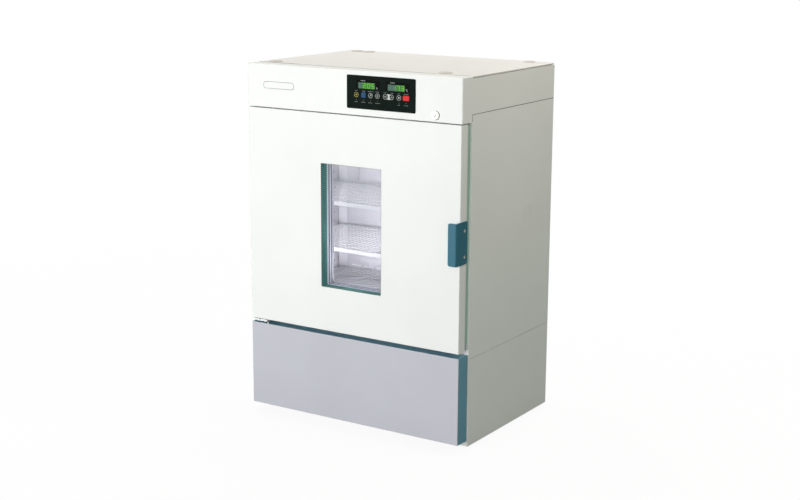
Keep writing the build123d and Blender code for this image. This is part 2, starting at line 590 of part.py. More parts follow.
BOARD_X, BOARD_Z, BOARD_DEPTHS = (-3.0, 199.0), (924.0, 998.0), (12.0, 13.6)
with BuildPart() as control_board:
    block(BOARD_X, (back(BOARD_DEPTHS[0]), back(BOARD_DEPTHS[1])), BOARD_Z)
    button_x = [*ROUND_BUTTONS.values(), *[size[0] for size in SQUARE_BUTTONS.values()]]
    with Locations(*[(x, back(BOARD_DEPTHS[0] - 1.4), BUTTON_Z) for x in button_x]):
        Box(6, 3, 6)
    posts = [(x, z) for x in (BOARD_X[0] + 4, BOARD_X[1] - 4) for z in (BOARD_Z[0] + 4, BOARD_Z[1] - 4)]
    for post in posts:
        bar("Y", post, (back(PANEL_BACK + SLACK), back(BOARD_DEPTHS[0] + SLACK)), 3)
    block((20, 60), (back(13), back(38)), (955, 990))
    for relay_x in (105, 145):
        block(span(relay_x, 30), (back(13), back(30)), (940, 960))
write(control_board, "control_board")

LOCK_TUBE_DEPTH, LOCK_PROUD = 20.0, 3.0
with BuildPart() as lock_housing:
    bar("Y", LOCK_AT, (back(-LOCK_PROUD), FRONT), LOCK_RIM_RADIUS)
    fillet(lock_housing.edges().group_by(Axis.Y)[0], 1)
    bar("Y", LOCK_AT, (FRONT, back(LOCK_TUBE_DEPTH)), LOCK_TUBE_RADIUS)
    bore_y = (back(-5), back(LOCK_TUBE_DEPTH + 5))
    bar("Y", LOCK_AT, bore_y, LOCK_PLUG_RADIUS + PIN_CLEARANCE, Mode.SUBTRACT)
write(lock_housing, "lock_housing")

with BuildPart() as lock_plug:
    cam_y = (back(CAM_DEPTH[0]), back(CAM_DEPTH[1]))
    bar("Y", LOCK_AT, (back(-LOCK_PROUD - 0.4), cam_y[1]), LOCK_PLUG_RADIUS)
    block(span(LOCK_X, 1.4), (back(-5), back(4)), span(LOCK_Z, 8), Mode.SUBTRACT)
    block((LOCK_X, LOCK_X + CAM_REACH), cam_y, span(LOCK_Z, 2 * CAM_RADIUS))
    bar("Y", (LOCK_X + CAM_REACH, LOCK_Z), cam_y, CAM_RADIUS)
write(lock_plug, "lock_plug")

# ---------------------------------------------------------------- hinges

UPPER_PLATE_Z, LOWER_PLATE_Z = (HEAD_Z + SLACK, HEAD_Z + 3.2), (273.6, 279.4)
UPPER_PLATE_X, LOWER_PLATE_X = (-345.5, -256.0), (-345.0, -296.0)
LOWER_LEAF_Z = 225.0
PIN_AT = (HINGE_X, back(HINGE_DEPTH))
with BuildPart() as hinge_brackets:
    plate_rear = back(CABINET_DEPTH - GAP)
    block(UPPER_PLATE_X, (back(7), plate_rear), UPPER_PLATE_Z)
    block((-MOUTH_X + 0.5, UPPER_PLATE_X[1]), (back(20), back(CABINET_DEPTH + 11)), UPPER_PLATE_Z)
    block(LOWER_PLATE_X, (back(5), plate_rear), LOWER_PLATE_Z)
    block(LOWER_PLATE_X, (back(COVER_DEPTH + 0.5), plate_rear), (LOWER_LEAF_Z, LOWER_PLATE_Z[1]))
    corners = hinge_brackets.edges().filter_by(Axis.Z).filter_by(lambda e: e.center().Y < back(10))
    fillet(corners, 4)
    bar("Z", PIN_AT, (DOOR_Z[1] + GAP, UPPER_PLATE_Z[0]), PIN_SHOULDER)
    bar("Z", PIN_AT, (DOOR_Z[1] - BUSH_LENGTH, UPPER_PLATE_Z[0]), PIN_RADIUS)
    bar("Z", PIN_AT, (LOWER_PLATE_Z[1], DOOR_Z[0] - GAP), PIN_SHOULDER)
    bar("Z", PIN_AT, (LOWER_PLATE_Z[1], DOOR_Z[0] + BUSH_LENGTH), PIN_RADIUS)
write(hinge_brackets, "hinge_brackets")

# ---------------------------------------------------------------- door

HANDLE_Z, HANDLE_SHEET, HANDLE_REACH, HANDLE_REAR = (526.0, 641.0), 2.5, 26.0, 33.0
SCREW_Z, SCREW_DEPTH, SCREW_RADIUS = (546.0, 616.0), 19.0, 2.3
SCREW_HOLE = SCREW_RADIUS + GAP
with BuildPart() as door_skin:
    block((-DOOR_X, DOOR_X), (FRONT, back(SKIN_DEPTH)), DOOR_Z)
    fillet(door_skin.edges().filter_by(Axis.Z).group_by(Axis.Y)[0], 2.5)
    block(
        (-DOOR_X + SHEET, DOOR_X - SHEET),
        (back(SHEET), back(SKIN_DEPTH + 1)),
        (DOOR_Z[0] + SHEET, DOOR_Z[1] - SHEET),
        Mode.SUBTRACT,
    )
    window_block(SHEET, (SHEET / 2, 13))
    window_block(0, (-1, 14), Mode.SUBTRACT)
    front_edges = door_skin.edges().group_by(Axis.Y)[0]
    fillet(front_edges.filter_by(lambda e: max(abs(v.X) for v in e.vertices()) < WINDOW_X + 1), 1)
    for pin_z in (span(DOOR_Z[0], 10), span(DOOR_Z[1], 10)):
        bar("Z", PIN_AT, pin_z, BUSH_RADIUS + SLACK, Mode.SUBTRACT)
    block(CAM_SLOT_X, CAM_SLOT_Y, span(DOOR_Z[1], 10), Mode.SUBTRACT)
    for height in SCREW_Z:
        bar("X", (back(SCREW_DEPTH), height), (DOOR_X - 5, DOOR_X + 1), SCREW_HOLE, Mode.SUBTRACT)
write(door_skin, "door_skin")

LINER_SHEET = 1.3
with BuildPart() as door_core:
    core_x = DOOR_X - SHEET - SLACK
    core_z = (DOOR_Z[0] + SHEET + SLACK, DOOR_Z[1] - SHEET - SLACK)
    plug_margin = LINER_SHEET + SLACK
    block((-core_x, core_x), (back(SHEET + SLACK), back(SKIN_DEPTH)), core_z)
    block(
        (-PLUG_X + plug_margin, PLUG_X - plug_margin),
        (back(SKIN_DEPTH), back(LINER_PLUG_DEPTH - plug_margin)),
        (PLUG_Z[0] + plug_margin, PLUG_Z[1] - plug_margin),
    )
    window_block(10 + SLACK, (0, 70), Mode.SUBTRACT)
    for pin_z in ((DOOR_Z[0], DOOR_Z[0] + BUSH_LENGTH + 2), (DOOR_Z[1] - BUSH_LENGTH - 2, DOOR_Z[1])):
        bar("Z", PIN_AT, pin_z, BUSH_RADIUS + SLACK, Mode.SUBTRACT)
    block(CAM_SLOT_X, (CAM_SLOT_Y[0] - 1, CAM_SLOT_Y[1] + 1), (884, 900), Mode.SUBTRACT)
    for height in SCREW_Z:
        bar("X", (back(SCREW_DEPTH), height), (DOOR_X - 20, DOOR_X), SCREW_HOLE, Mode.SUBTRACT)
write(door_core, "door_core")

with BuildPart() as hinge_bushes:
    for low, high in ((DOOR_Z[0], DOOR_Z[0] + BUSH_LENGTH), (DOOR_Z[1] - BUSH_LENGTH, DOOR_Z[1])):
        bar("Z", PIN_AT, (low, high), BUSH_RADIUS)
        bar("Z", PIN_AT, (low - 1, high + 1), PIN_RADIUS + PIN_CLEARANCE, Mode.SUBTRACT)
write(hinge_bushes, "hinge_bushes")

LINER_FLANGE, LINER_FLANGE_X = (SKIN_DEPTH + SLACK, SKIN_DEPTH + 1.4), 345.0
FRAME_DEPTHS, FRAME_WIDTH = (13.2, 27.0), 10.0
with BuildPart() as door_liner:
    flange_y = (back(LINER_FLANGE[0]), back(LINER_FLANGE[1]))
    block((-LINER_FLANGE_X, LINER_FLANGE_X), flange_y, (DOOR_Z[0] + 2, DOOR_Z[1] - 2))
    block((-PLUG_X, PLUG_X), (flange_y[0], back(LINER_PLUG_DEPTH)), PLUG_Z)
    depth_edges = door_liner.edges().filter_by(Axis.Y)
    fillet(depth_edges.filter_by(lambda e: abs(abs(e.center().X) - PLUG_X) < 1), 10)
    block(
        (-PLUG_X + LINER_SHEET, PLUG_X - LINER_SHEET),
        (back(SKIN_DEPTH), back(LINER_PLUG_DEPTH - LINER_SHEET)),
        (PLUG_Z[0] + LINER_SHEET, PLUG_Z[1] - LINER_SHEET),
        Mode.SUBTRACT,
    )
    window_block(FRAME_WIDTH - 1, (FRAME_DEPTHS[1] + SLACK, LINER_PLUG_DEPTH))
    window_block(0, (20, 70), Mode.SUBTRACT)
write(door_liner, "door_liner")

with BuildPart() as window_frame:
    window_block(FRAME_WIDTH, FRAME_DEPTHS)
    window_block(0, (0, 40), Mode.SUBTRACT)
write(window_frame, "window_frame")

GLASS_INSET = 0.25
OUTER_PANE, INNER_PANES = (9.0, 12.5), ((36.5, 39.5), (48.5, 52.0))
with BuildPart() as outer_glass:
    window_block(-GLASS_INSET, OUTER_PANE)
write(outer_glass, "outer_glass")

with BuildPart() as inner_glass:
    for pane in INNER_PANES:
        window_block(-GLASS_INSET, pane)
write(inner_glass, "inner_glass")

GASKET_NECK, GASKET_BODY = (LINER_FLANGE[1] + SLACK, 38.0), (38.0, CABINET_DEPTH - GAP)
GASKET_X, GASKET_Z, GASKET_NECK_X = (-341.0, 344.5), (299.0, 892.0), 328.0
with BuildPart() as door_gasket:
    neck_y, body_y = [(back(depths[0]), back(depths[1])) for depths in (GASKET_NECK, GASKET_BODY)]
    block(GASKET_X, body_y, GASKET_Z)
    block((-GASKET_NECK_X, GASKET_NECK_X), neck_y, (GASKET_Z[0] + 9, GASKET_Z[1] - 9))
    fillet(door_gasket.edges().filter_by(Axis.Y), 3)
    hole_z = (PLUG_Z[0] - 5, PLUG_Z[1] + 5)
    block((-PLUG_X - 4, PLUG_X + 4), (back(30), back(55)), hole_z, Mode.SUBTRACT)
write(door_gasket, "door_gasket")

with BuildPart() as door_handle:
    inner_x, front_y = SIDE - HANDLE_SHEET + 0.1, back(-HANDLE_PROUD)
    with BuildSketch(Plane.XY.offset(HANDLE_Z[0])):
        with BuildLine():
            Polyline(
                (SIDE - HANDLE_REACH, front_y),
                (SIDE, front_y),
                (SIDE, back(HANDLE_REAR)),
                (inner_x, back(HANDLE_REAR)),
                (inner_x, front_y + HANDLE_SHEET),
                (SIDE - HANDLE_REACH, front_y + HANDLE_SHEET),
                close=True,
            )
        make_face()
    extrude(amount=HANDLE_Z[1] - HANDLE_Z[0])
    upright = door_handle.edges().filter_by(Axis.Z)
    fillet(upright.filter_by(lambda e: e.center().X > SIDE - 0.1).sort_by(Axis.Y)[0], 4)
    inner_bend = upright.filter_by(lambda e: abs(e.center().X - inner_x) < 0.01)
    fillet(inner_bend.sort_by(Axis.Y)[0], 1.5)
    fillet(door_handle.edges().filter_by(Axis.Y).group_by(Axis.X)[0], 6)
    fillet(door_handle.edges().filter_by(Axis.X).group_by(Axis.Y)[-1], 6)
    for height in SCREW_Z:
        bar("X", (back(SCREW_DEPTH), height), (SIDE - 5, SIDE + 1), SCREW_HOLE, Mode.SUBTRACT)
        with Locations(Location((SIDE, back(SCREW_DEPTH), height), (0, -90, 0))):
            Cone(5, SCREW_HOLE, 2.4, align=(Align.CENTER, Align.CENTER, Align.MIN), mode=Mode.SUBTRACT)
write(door_handle, "door_handle")

with BuildPart() as handle_screws:
    for height in SCREW_Z:
        bar("X", (back(SCREW_DEPTH), height), (SIDE - 16, SIDE - 1), SCREW_RADIUS)
        with Locations(Location((SIDE - SLACK, back(SCREW_DEPTH), height), (0, -90, 0))):
            Cone(4.6, SCREW_RADIUS - 0.1, 2.4, align=(Align.CENTER, Align.CENTER, Align.MIN))
        for size_y, size_z in ((6, 1), (1, 6)):
            recess_x, recess_y = (SIDE - 1.2, SIDE + 1), span(back(SCREW_DEPTH), size_y)
            block(recess_x, recess_y, span(height, size_z), Mode.SUBTRACT)
write(handle_screws, "handle_screws")

# ---------------------------------------------------------------- lower cover

FACE_THICK = 1.6
HOOK_X, HOOK_LEG, HOOK_TAB = 200.0, (30.0, 2.0), (24.0, 8.0)
with BuildPart() as lower_cover:
    block((-DOOR_X, DOOR_X), (back(FACE_THICK + SLACK), back(COVER_DEPTH)), COVER_Z)
    block(
        (-DOOR_X + SHEET, DOOR_X - SHEET),
        (back(FACE_THICK + 2), back(COVER_DEPTH + 1)),
        (COVER_Z[0] + SHEET, COVER_Z[1] - SHEET),
        Mode.SUBTRACT,
    )
    for x in (-HOOK_X, HOOK_X):
        block(span(x, HOOK_LEG[0]), (back(20), back(20 + HOOK_LEG[1])), (56, COVER_Z[1] - 1))
        block(span(x, HOOK_TAB[0]), (back(20), back(CABINET_DEPTH + 4)), (58, 58 + HOOK_TAB[1]))
write(lower_cover, "lower_cover")

with BuildPart() as lower_cover_face:
    block((-DOOR_X, DOOR_X), (FRONT, back(FACE_THICK)), COVER_Z)
    fillet(lower_cover_face.faces().sort_by(Axis.Y)[0].edges(), 1.2)
write(lower_cover_face, "lower_cover_face")

# ---------------------------------------------------------------- compressor bay

COMPRESSOR_AT, COMPRESSOR_RADIUS, COMPRESSOR_Z = (-170.0, 70.0), 78.0, (34.0, 190.0)
COMPRESSOR_FEET, COMPRESSOR_PLATE = (85.0, 50.0), (190.0, 120.0)
with BuildPart() as compressor:
    cx, cy = COMPRESSOR_AT
    bar("Z", COMPRESSOR_AT, COMPRESSOR_Z, COMPRESSOR_RADIUS)
    fillet(compressor.edges().group_by(Axis.Z)[-1], 38)
    fillet(compressor.edges().group_by(Axis.Z)[0], 20)
    bar("Z", COMPRESSOR_AT, (104, 110), COMPRESSOR_RADIUS + 4)
    block(span(cx, COMPRESSOR_PLATE[0]), span(cy, COMPRESSOR_PLATE[1]), (32, 36))
    for x in (cx - COMPRESSOR_FEET[0], cx + COMPRESSOR_FEET[0]):
        for y in (cy - COMPRESSOR_FEET[1], cy + COMPRESSOR_FEET[1]):
            bar("Z", (x, y), (BAY_FLOOR, 40), 10)
    block((cx + 70, cx + 92), span(cy, 40), (120, 165))
write(compressor, "compressor")

CONDENSER_X, CONDENSER_Y, CONDENSER_Z = (50.0, 290.0), (-110.0, -68.0), (44.0, 216.0)
with BuildPart() as condenser:
    finned_coil(CONDENSER_X, CONDENSER_Y, CONDENSER_Z, fins=25, tube_rows=6)
    for x in CONDENSER_X:
        block(span(x, 4), CONDENSER_Y, (BAY_FLOOR, CONDENSER_Z[0] + 1))
write(condenser, "condenser")

SHROUD_Y, RING_RADIUS, RING_REAR, MOTOR_Y = (-62.0, -60.0), 78.0, -44.0, (-16.0, 20.0)
ARM_REACH, ARM_HALF = 79.0, 8.0
with BuildPart() as condenser_shroud:
    fan_at = (BAY_FAN_X, BAY_FAN_Z)
    arm_z = span(BAY_FAN_Z, 2 * ARM_HALF)
    block((CONDENSER_X[0] + 5, CONDENSER_X[1] - 5), SHROUD_Y, (CONDENSER_Z[0] + 2, CONDENSER_Z[1] - 2))
    bar("Y", fan_at, (SHROUD_Y[0], RING_REAR), RING_RADIUS)
    bar("Y", fan_at, (SHROUD_Y[0] - 8, RING_REAR + 4), RING_RADIUS - 3, Mode.SUBTRACT)
    for side in (-1, 1):
        arm_x = (BAY_FAN_X + side * ARM_REACH, BAY_FAN_X + side * (ARM_REACH - 3))
        block(arm_x, (RING_REAR - 2, MOTOR_Y[1]), arm_z)
    block(span(BAY_FAN_X, 2 * ARM_REACH), (MOTOR_Y[1] - 3, MOTOR_Y[1]), arm_z)
    bar("Y", fan_at, MOTOR_Y, 30)
    bar("Y", fan_at, (MOTOR_Y[0] - 2, MOTOR_Y[0] + 22), SHAFT_BORE, Mode.SUBTRACT)
    block(span(BAY_FAN_X, 140), SHROUD_Y, (BAY_FLOOR, CONDENSER_Z[0] + 3))
write(condenser_shroud, "condenser_shroud")

with BuildPart() as condenser_fan:
    axial_fan(BAY_FAN_X, BAY_FAN_Z, (-44, -22), 2, blades=4)
write(condenser_fan, "condenser_fan")

PAN_X, PAN_Y, PAN_TOP, PAN_WALL = (-60.0, 30.0), (-110.0, 170.0), 44.0, 1.5
with BuildPart() as drain_pan:
    block(PAN_X, PAN_Y, (BAY_FLOOR, PAN_TOP))
    fillet(drain_pan.edges().filter_by(Axis.Z), 12)
    offset(amount=-PAN_WALL, openings=drain_pan.faces().sort_by(Axis.Z)[-1])
write(drain_pan, "drain_pan")


def pipe(points, radius):
    """A bent copper pipe through the points, with rounded corners."""
    with BuildLine() as path:
        FilletPolyline(*points, radius=14)
    with BuildSketch(Plane(origin=path.line @ 0, z_dir=path.line % 0)) as section:
        Circle(radius)
    sweep(section.sketch, path=path.line)


PIPE_START_Z, DISCHARGE_Z, SUCTION_Z = COMPRESSOR_Z[1] + GAP, 238.0, 225.0
DISCHARGE_X, DISCHARGE_Y = (-20.0, CONDENSER_X[0] - 8), sum(CONDENSER_Y) / 2
SUCTION_X, SUCTION_Y = COMPRESSOR_AT[0] - 48, 200.0
with BuildPart() as refrigerant_lines:
    pipe(
        [
            (*COMPRESSOR_AT, PIPE_START_Z),
            (*COMPRESSOR_AT, DISCHARGE_Z),
            (DISCHARGE_X[0], COMPRESSOR_AT[1], DISCHARGE_Z),
            (DISCHARGE_X[0], DISCHARGE_Y, DISCHARGE_Z),
            (DISCHARGE_X[1], DISCHARGE_Y, DISCHARGE_Z),
            (DISCHARGE_X[1], DISCHARGE_Y, DISCHARGE_Z - 30),
        ],
        3,
    )
    pipe(
        [
            (SUCTION_X, COMPRESSOR_AT[1], PIPE_START_Z),
            (SUCTION_X, COMPRESSOR_AT[1], SUCTION_Z),
            (SUCTION_X, SUCTION_Y, SUCTION_Z),
            (SUCTION_X, SUCTION_Y, BAY_TOP + 1),
        ],
        4,
    )
write(refrigerant_lines, "refrigerant_lines")
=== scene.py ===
import json
import math
import random

import bmesh
import bpy
from mathutils import Matrix, Vector


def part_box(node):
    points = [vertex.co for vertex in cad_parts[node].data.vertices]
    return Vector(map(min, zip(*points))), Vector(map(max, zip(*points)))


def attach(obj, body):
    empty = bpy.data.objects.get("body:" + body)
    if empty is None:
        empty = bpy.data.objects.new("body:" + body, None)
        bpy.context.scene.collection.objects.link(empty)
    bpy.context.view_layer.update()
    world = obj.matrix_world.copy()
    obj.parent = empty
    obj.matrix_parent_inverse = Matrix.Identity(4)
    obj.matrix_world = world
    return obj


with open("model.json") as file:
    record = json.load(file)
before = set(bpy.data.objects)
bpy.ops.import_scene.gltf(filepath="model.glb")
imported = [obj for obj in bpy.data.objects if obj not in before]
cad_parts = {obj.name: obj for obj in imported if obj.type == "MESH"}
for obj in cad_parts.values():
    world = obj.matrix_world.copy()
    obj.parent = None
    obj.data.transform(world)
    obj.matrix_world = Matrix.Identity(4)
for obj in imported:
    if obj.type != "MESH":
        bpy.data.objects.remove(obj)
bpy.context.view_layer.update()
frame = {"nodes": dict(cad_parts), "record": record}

# The looks of a cooled laboratory incubator, built round its CAD frame. Metres, +Z up, the front
# faces -Y. Places come from the frame's own boxes, and MM turns millimetres into metres.

MM = 0.001
CABINET, DOOR = "cabinet", "door"
draw = random.Random(7)

# ---------------------------------------------------------------- the frame's main places

door_low, door_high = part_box("door_skin")
window_low, window_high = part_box("outer_glass")
inner_low, inner_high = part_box("inner_glass")
display_low, display_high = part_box("display_modules")
hood_low, hood_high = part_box("hood_shell")
duct_low, duct_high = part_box("duct_panel")
liner_low, liner_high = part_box("chamber_liner")
rear_low, rear_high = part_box("rear_panel")
grille_low, grille_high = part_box("lower_rear_grille")
side_low, side_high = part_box("right_side_panel")
lock_low, lock_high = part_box("lock_housing")
frame_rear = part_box("window_frame")[1].y
panel_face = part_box("control_panel")[0].y
lid_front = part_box("top_lid")[0].y
bracket_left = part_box("hinge_brackets")[0].x
cover_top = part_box("lower_cover")[1].z
plug_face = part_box("lock_plug")[0].y
FRONT, TOP = door_low.y, hood_high.z


# ---------------------------------------------------------------- finishes


def srgb(red, green, blue):
    """A colour given as 0-255 screen values, as linear RGBA."""

    def linear(value):
        value /= 255
        return value / 12.92 if value <= 0.04045 else ((value + 0.055) / 1.055) ** 2.4

    return (linear(red), linear(green), linear(blue), 1.0)


def scaled(colour, factor):
    """A linear colour made lighter or darker."""
    return tuple(min(channel * factor, 1.0) for channel in colour[:3]) + (1.0,)


class Finish:
    """A material in the making: a Principled shader, and the patterns that feed it."""

    def __init__(self, name, **uniform):
        self.material = bpy.data.materials.new(name)
        self.material.use_nodes = True
        self.tree = self.material.node_tree
        self.tree.nodes.clear()
        self.place = self.node("ShaderNodeTexCoord").outputs["Object"]
        self.shader = self.node("ShaderNodeBsdfPrincipled")
        for socket, value in uniform.items():
            self.shader.inputs[socket.replace("_", " ")].default_value = value
        self.output = self.node("ShaderNodeOutputMaterial")
        self.tree.links.new(self.shader.outputs[0], self.output.inputs["Surface"])

    def node(self, kind, inputs=None, **settings):
        """A new node; a socket given as an input is linked, and anything else is set."""
        made = self.tree.nodes.new(kind)
        for key, value in settings.items():
            setattr(made, key, value)
        for key, value in (inputs or {}).items():
            if isinstance(value, bpy.types.NodeSocket):
                self.tree.links.new(value, made.inputs[key])
            else:
                made.inputs[key].default_value = value
        return made

    def stretched(self, scale):
        """The object's coordinates, scaled differently along each axis."""
        return self.node("ShaderNodeMapping", {"Vector": self.place, "Scale": scale}).outputs[0]

    def noise(self, scale, detail=2.0, place=None):
        """Soft noise from 0 to 1; scale is how many features there are in a metre."""
        settings = {"Vector": place or self.place, "Scale": scale, "Detail": detail}
        return self.node("ShaderNodeTexNoise", settings).outputs[0]

    def cells(self, scale, place=None):
        """The distance to the nearest of a field of scattered points."""
        settings = {"Vector": place or self.place, "Scale": scale}
        return self.node("ShaderNodeTexVoronoi", settings).outputs["Distance"]

    def remap(self, value, low, high, start=0.3, end=0.7):
        """A value that goes from start to end, stretched to run from low to high."""
        limits = {"Value": value, "From Min": start, "From Max": end, "To Min": low, "To Max": high}
        return self.node("ShaderNodeMapRange", limits).outputs[0]

    def maths(self, operation, first, second, third=0.0):
        """Numbers or sockets put together."""
        inputs = {0: first, 1: second, 2: third}
        return self.node("ShaderNodeMath", inputs, operation=operation).outputs[0]

    def blend(self, share, first, second):
        """The first colour turning into the second as share goes from 0 to 1."""
        mixed = self.node("ShaderNodeMix", data_type="RGBA")
        for index, value in ((0, share), (6, first), (7, second)):
            if isinstance(value, bpy.types.NodeSocket):
                self.tree.links.new(value, mixed.inputs[index])
            else:
                mixed.inputs[index].default_value = value
        return mixed.outputs[2]

    def edges(self, radius):
        """A normal that rounds sharp edges off, and a mask of where it does."""
        soft = self.node("ShaderNodeBevel", {"Radius": radius}, samples=4).outputs[0]
        flat = self.node("ShaderNodeNewGeometry").outputs["Normal"]
        compared = self.node("ShaderNodeVectorMath", {0: soft, 1: flat}, operation="DOT_PRODUCT")
        return soft, self.remap(compared.outputs["Value"], 1.0, 0.0, 0.75, 0.999)

    def feed(self, socket, value):
        """Links a pattern to one of the shader's sockets."""
        self.tree.links.new(value, self.shader.inputs[socket])

    def relief(self, height, depth, normal=None):
        """Raises the surface by a pattern; depth is its height in metres."""
        inputs = {"Height": height, "Distance": depth, "Strength": 1.0}
        if normal is not None:
            inputs["Normal"] = normal
        self.feed("Normal", self.node("ShaderNodeBump", inputs).outputs[0])


def enamel(name, colour, roughness, painted_edge_tone, edge_tone_weight=0.35, drift=0.02, **uniform):
    """Baked enamel on sheet steel: orange peel, a slow drift of tone, and edges painted towards an edge
    tone, broken up by noise; a lighter edge tone is a painted highlight.
    """
    made = Finish(name, **uniform)
    soft, edge = made.edges(1.1 * MM)
    cloud = made.remap(made.noise(4, 3), 0.0, 1.0)
    tone = made.blend(cloud, scaled(colour, 1 - drift), scaled(colour, 1 + drift))
    edge_breakup = made.remap(made.noise(60, 4), 0.0, 1.0, 0.45, 0.7)
    # Painted edge tone: the bevel mask, broken up by noise, blends the colour towards the edge tone
    edge_share = made.maths("MULTIPLY", edge, made.maths("MULTIPLY_ADD", edge_breakup, 0.5 * edge_tone_weight, 0.5 * edge_tone_weight))
    made.feed("Base Color", made.blend(edge_share, tone, painted_edge_tone))
    made.feed("Roughness", made.remap(made.noise(35, 4), roughness - 0.04, roughness + 0.06))
    made.relief(made.noise(520, 2), 0.035 * MM, soft)
    return made.material


def brushed(name, colour, roughness, grain, metallic=1.0):
    """Brushed or rolled sheet metal; grain is the direction that its lines run in."""
    made = Finish(name, Metallic=metallic)
    scale = [25.0 if axis == grain else 1400.0 for axis in "XYZ"]
    lines = made.noise(1.0, 3, made.stretched(scale))
    smears = made.noise(7, 4)
    tone = made.remap(smears, 0.0, 1.0)
    made.feed("Base Color", made.blend(tone, scaled(colour, 0.93), scaled(colour, 1.06)))
    gloss = made.remap(smears, roughness - 0.03, roughness + 0.05)
    made.feed("Roughness", made.maths("ADD", made.remap(lines, -0.09, 0.12), gloss))
    made.relief(lines, 0.012 * MM)
    return made.material


def plated(name, colour, roughness=0.34):
    """Zinc-plated or galvanised steel: a mottle of dull crystals, and edges painted lighter as a painted
    highlight.
    """
    made = Finish(name, Metallic=0.6)
    soft, edge = made.edges(0.6 * MM)
    crystals = made.node("ShaderNodeTexVoronoi", {"Vector": made.place, "Scale": 160.0}).outputs["Color"]
    tone = made.blend(made.remap(crystals, 0.0, 1.0, 0.1, 0.9), scaled(colour, 0.86), scaled(colour, 1.1))
    # Edges painted 1.3 times lighter through the bevel mask: a painted highlight
    made.feed("Base Color", made.blend(made.maths("MULTIPLY", edge, 0.3), tone, scaled(colour, 1.3)))
    made.feed("Roughness", made.remap(crystals, roughness - 0.06, roughness + 0.14, 0.0, 1.0))
    made.relief(made.noise(400, 2), 0.02 * MM, soft)
    return made.material


def moulded(name, colour, roughness, grain=900, depth=0.03, drift=0.06, **uniform):
    """Moulded plastic or rubber with a fine even grain."""
    made = Finish(name, **uniform)
    soft = made.edges(0.5 * MM)[0]
    tone = made.remap(made.noise(18, 4), 0.0, 1.0)
    made.feed("Base Color", made.blend(tone, scaled(colour, 1 - drift), scaled(colour, 1 + drift)))
    made.feed("Roughness", made.remap(made.noise(70, 3), roughness - 0.05, roughness + 0.06))
    made.relief(made.cells(grain), depth * MM, soft)
    return made.material


def foamed(name, colour):
    """Poured urethane foam: closed cells under a thin skin, browned in patches."""
    made = Finish(name, Roughness=0.9)
    patches = made.remap(made.noise(9, 4), 0.0, 1.0)
    made.feed("Base Color", made.blend(patches, scaled(colour, 0.8), scaled(colour, 1.08)))
    made.relief(made.cells(420), 0.5 * MM)
    return made.material


WAVE_SCALE = 0.628  # the scale at which the wave texture's bands repeat once in a unit


def hatched(name, dark, light, pitch):
    """The spacer bar between two panes: drilled rows along it, in dark enamel."""
    made = Finish(name, Specular_IOR_Level=0.06)
    rows = made.stretched((1 / pitch, 0.0, 1 / pitch))
    bands = {"Vector": rows, "Scale": WAVE_SCALE}
    weave = made.node("ShaderNodeTexWave", bands, bands_direction="DIAGONAL")
    holes = made.remap(weave.outputs["Fac"], 0.0, 1.0, 0.2, 0.8)
    drift = made.remap(made.noise(14, 3), 0.75, 1.0)
    made.feed("Base Color", made.blend(made.maths("MULTIPLY", holes, drift), dark, light))
    made.feed("Roughness", made.remap(made.noise(50, 3), 0.5, 0.62))
    made.relief(holes, 0.12 * MM)
    return made.material


def glazed(name, tint):
    """A clear pane: light passes straight through it, less what its faces mirror."""
    made = Finish(name)
    made.tree.nodes.remove(made.shader)
    film = made.remap(made.noise(11, 4), 0.985, 1.0)
    clear = made.blend(film, scaled(tint, 0.97), tint)
    through = made.node("ShaderNodeBsdfTransparent", {"Color": clear})
    haze = made.remap(made.noise(45, 3), 0.015, 0.04)
    mirror = made.node("ShaderNodeBsdfGlossy", {"Roughness": haze})
    outer_face = made.maths("SUBTRACT", 1.0, made.node("ShaderNodeNewGeometry").outputs["Backfacing"])
    fresnel = made.node("ShaderNodeFresnel", {"IOR": 1.45}).outputs[0]
    share = made.maths("MULTIPLY", fresnel, outer_face)
    pane = made.node("ShaderNodeMixShader", {0: share, 1: through.outputs[0], 2: mirror.outputs[0]})
    made.tree.links.new(pane.outputs[0], made.output.inputs["Surface"])
    return made.material


def glowing(name, colour, glow, strength):
    """A lit or unlit part of a display, under a faint grid of cells."""
    made = Finish(name, Roughness=0.35, Specular_IOR_Level=0.05, Emission_Strength=strength)
    grid = made.stretched((2200.0, 1.0, 2200.0))
    mesh = made.node("ShaderNodeTexChecker", {"Vector": grid, "Scale": 1.0}).outputs["Fac"]
    patch = made.remap(made.noise(120, 2), 0.0, 1.0)
    tone = made.maths("MULTIPLY_ADD", mesh, 0.12)
    share = made.maths("ADD", tone, made.maths("MULTIPLY", patch, 0.5))
    made.feed("Base Color", made.blend(share, scaled(colour, 0.85), scaled(colour, 1.15)))
    made.feed("Emission Color", made.blend(share, scaled(glow, 0.8), scaled(glow, 1.1)))
    return made.material


def circuit(name):
    """A printed circuit board: green lacquer over fine tracks."""
    made = Finish(name, Roughness=0.35)
    bricks = {"Vector": made.stretched((90.0, 1.0, 90.0)), "Scale": 6.0, "Mortar Size": 0.06}
    tracks = made.node("ShaderNodeTexBrick", bricks).outputs["Fac"]
    made.feed("Base Color", made.blend(tracks, srgb(26, 92, 52), srgb(70, 140, 78)))
    made.relief(tracks, 0.05 * MM)
    return made.material


def finned(name, colour):
    """Thin aluminium fin stock: dusty flats, and edges painted near white as a painted highlight."""
    made = Finish(name, Metallic=0.85)
    soft, edge = made.edges(0.4 * MM)
    dust = made.remap(made.noise(30, 4), 0.0, 1.0)
    tone = made.blend(dust, scaled(colour, 0.82), scaled(colour, 1.05))
    # Edges blended to near white through the bevel mask: a painted highlight
    made.feed("Base Color", made.blend(made.maths("MULTIPLY", edge, 0.5), tone, srgb(235, 238, 240)))
    made.feed("Roughness", made.remap(dust, 0.3, 0.5, 0.0, 1.0))
    made.relief(made.noise(260, 2), 0.03 * MM, soft)
    return made.material


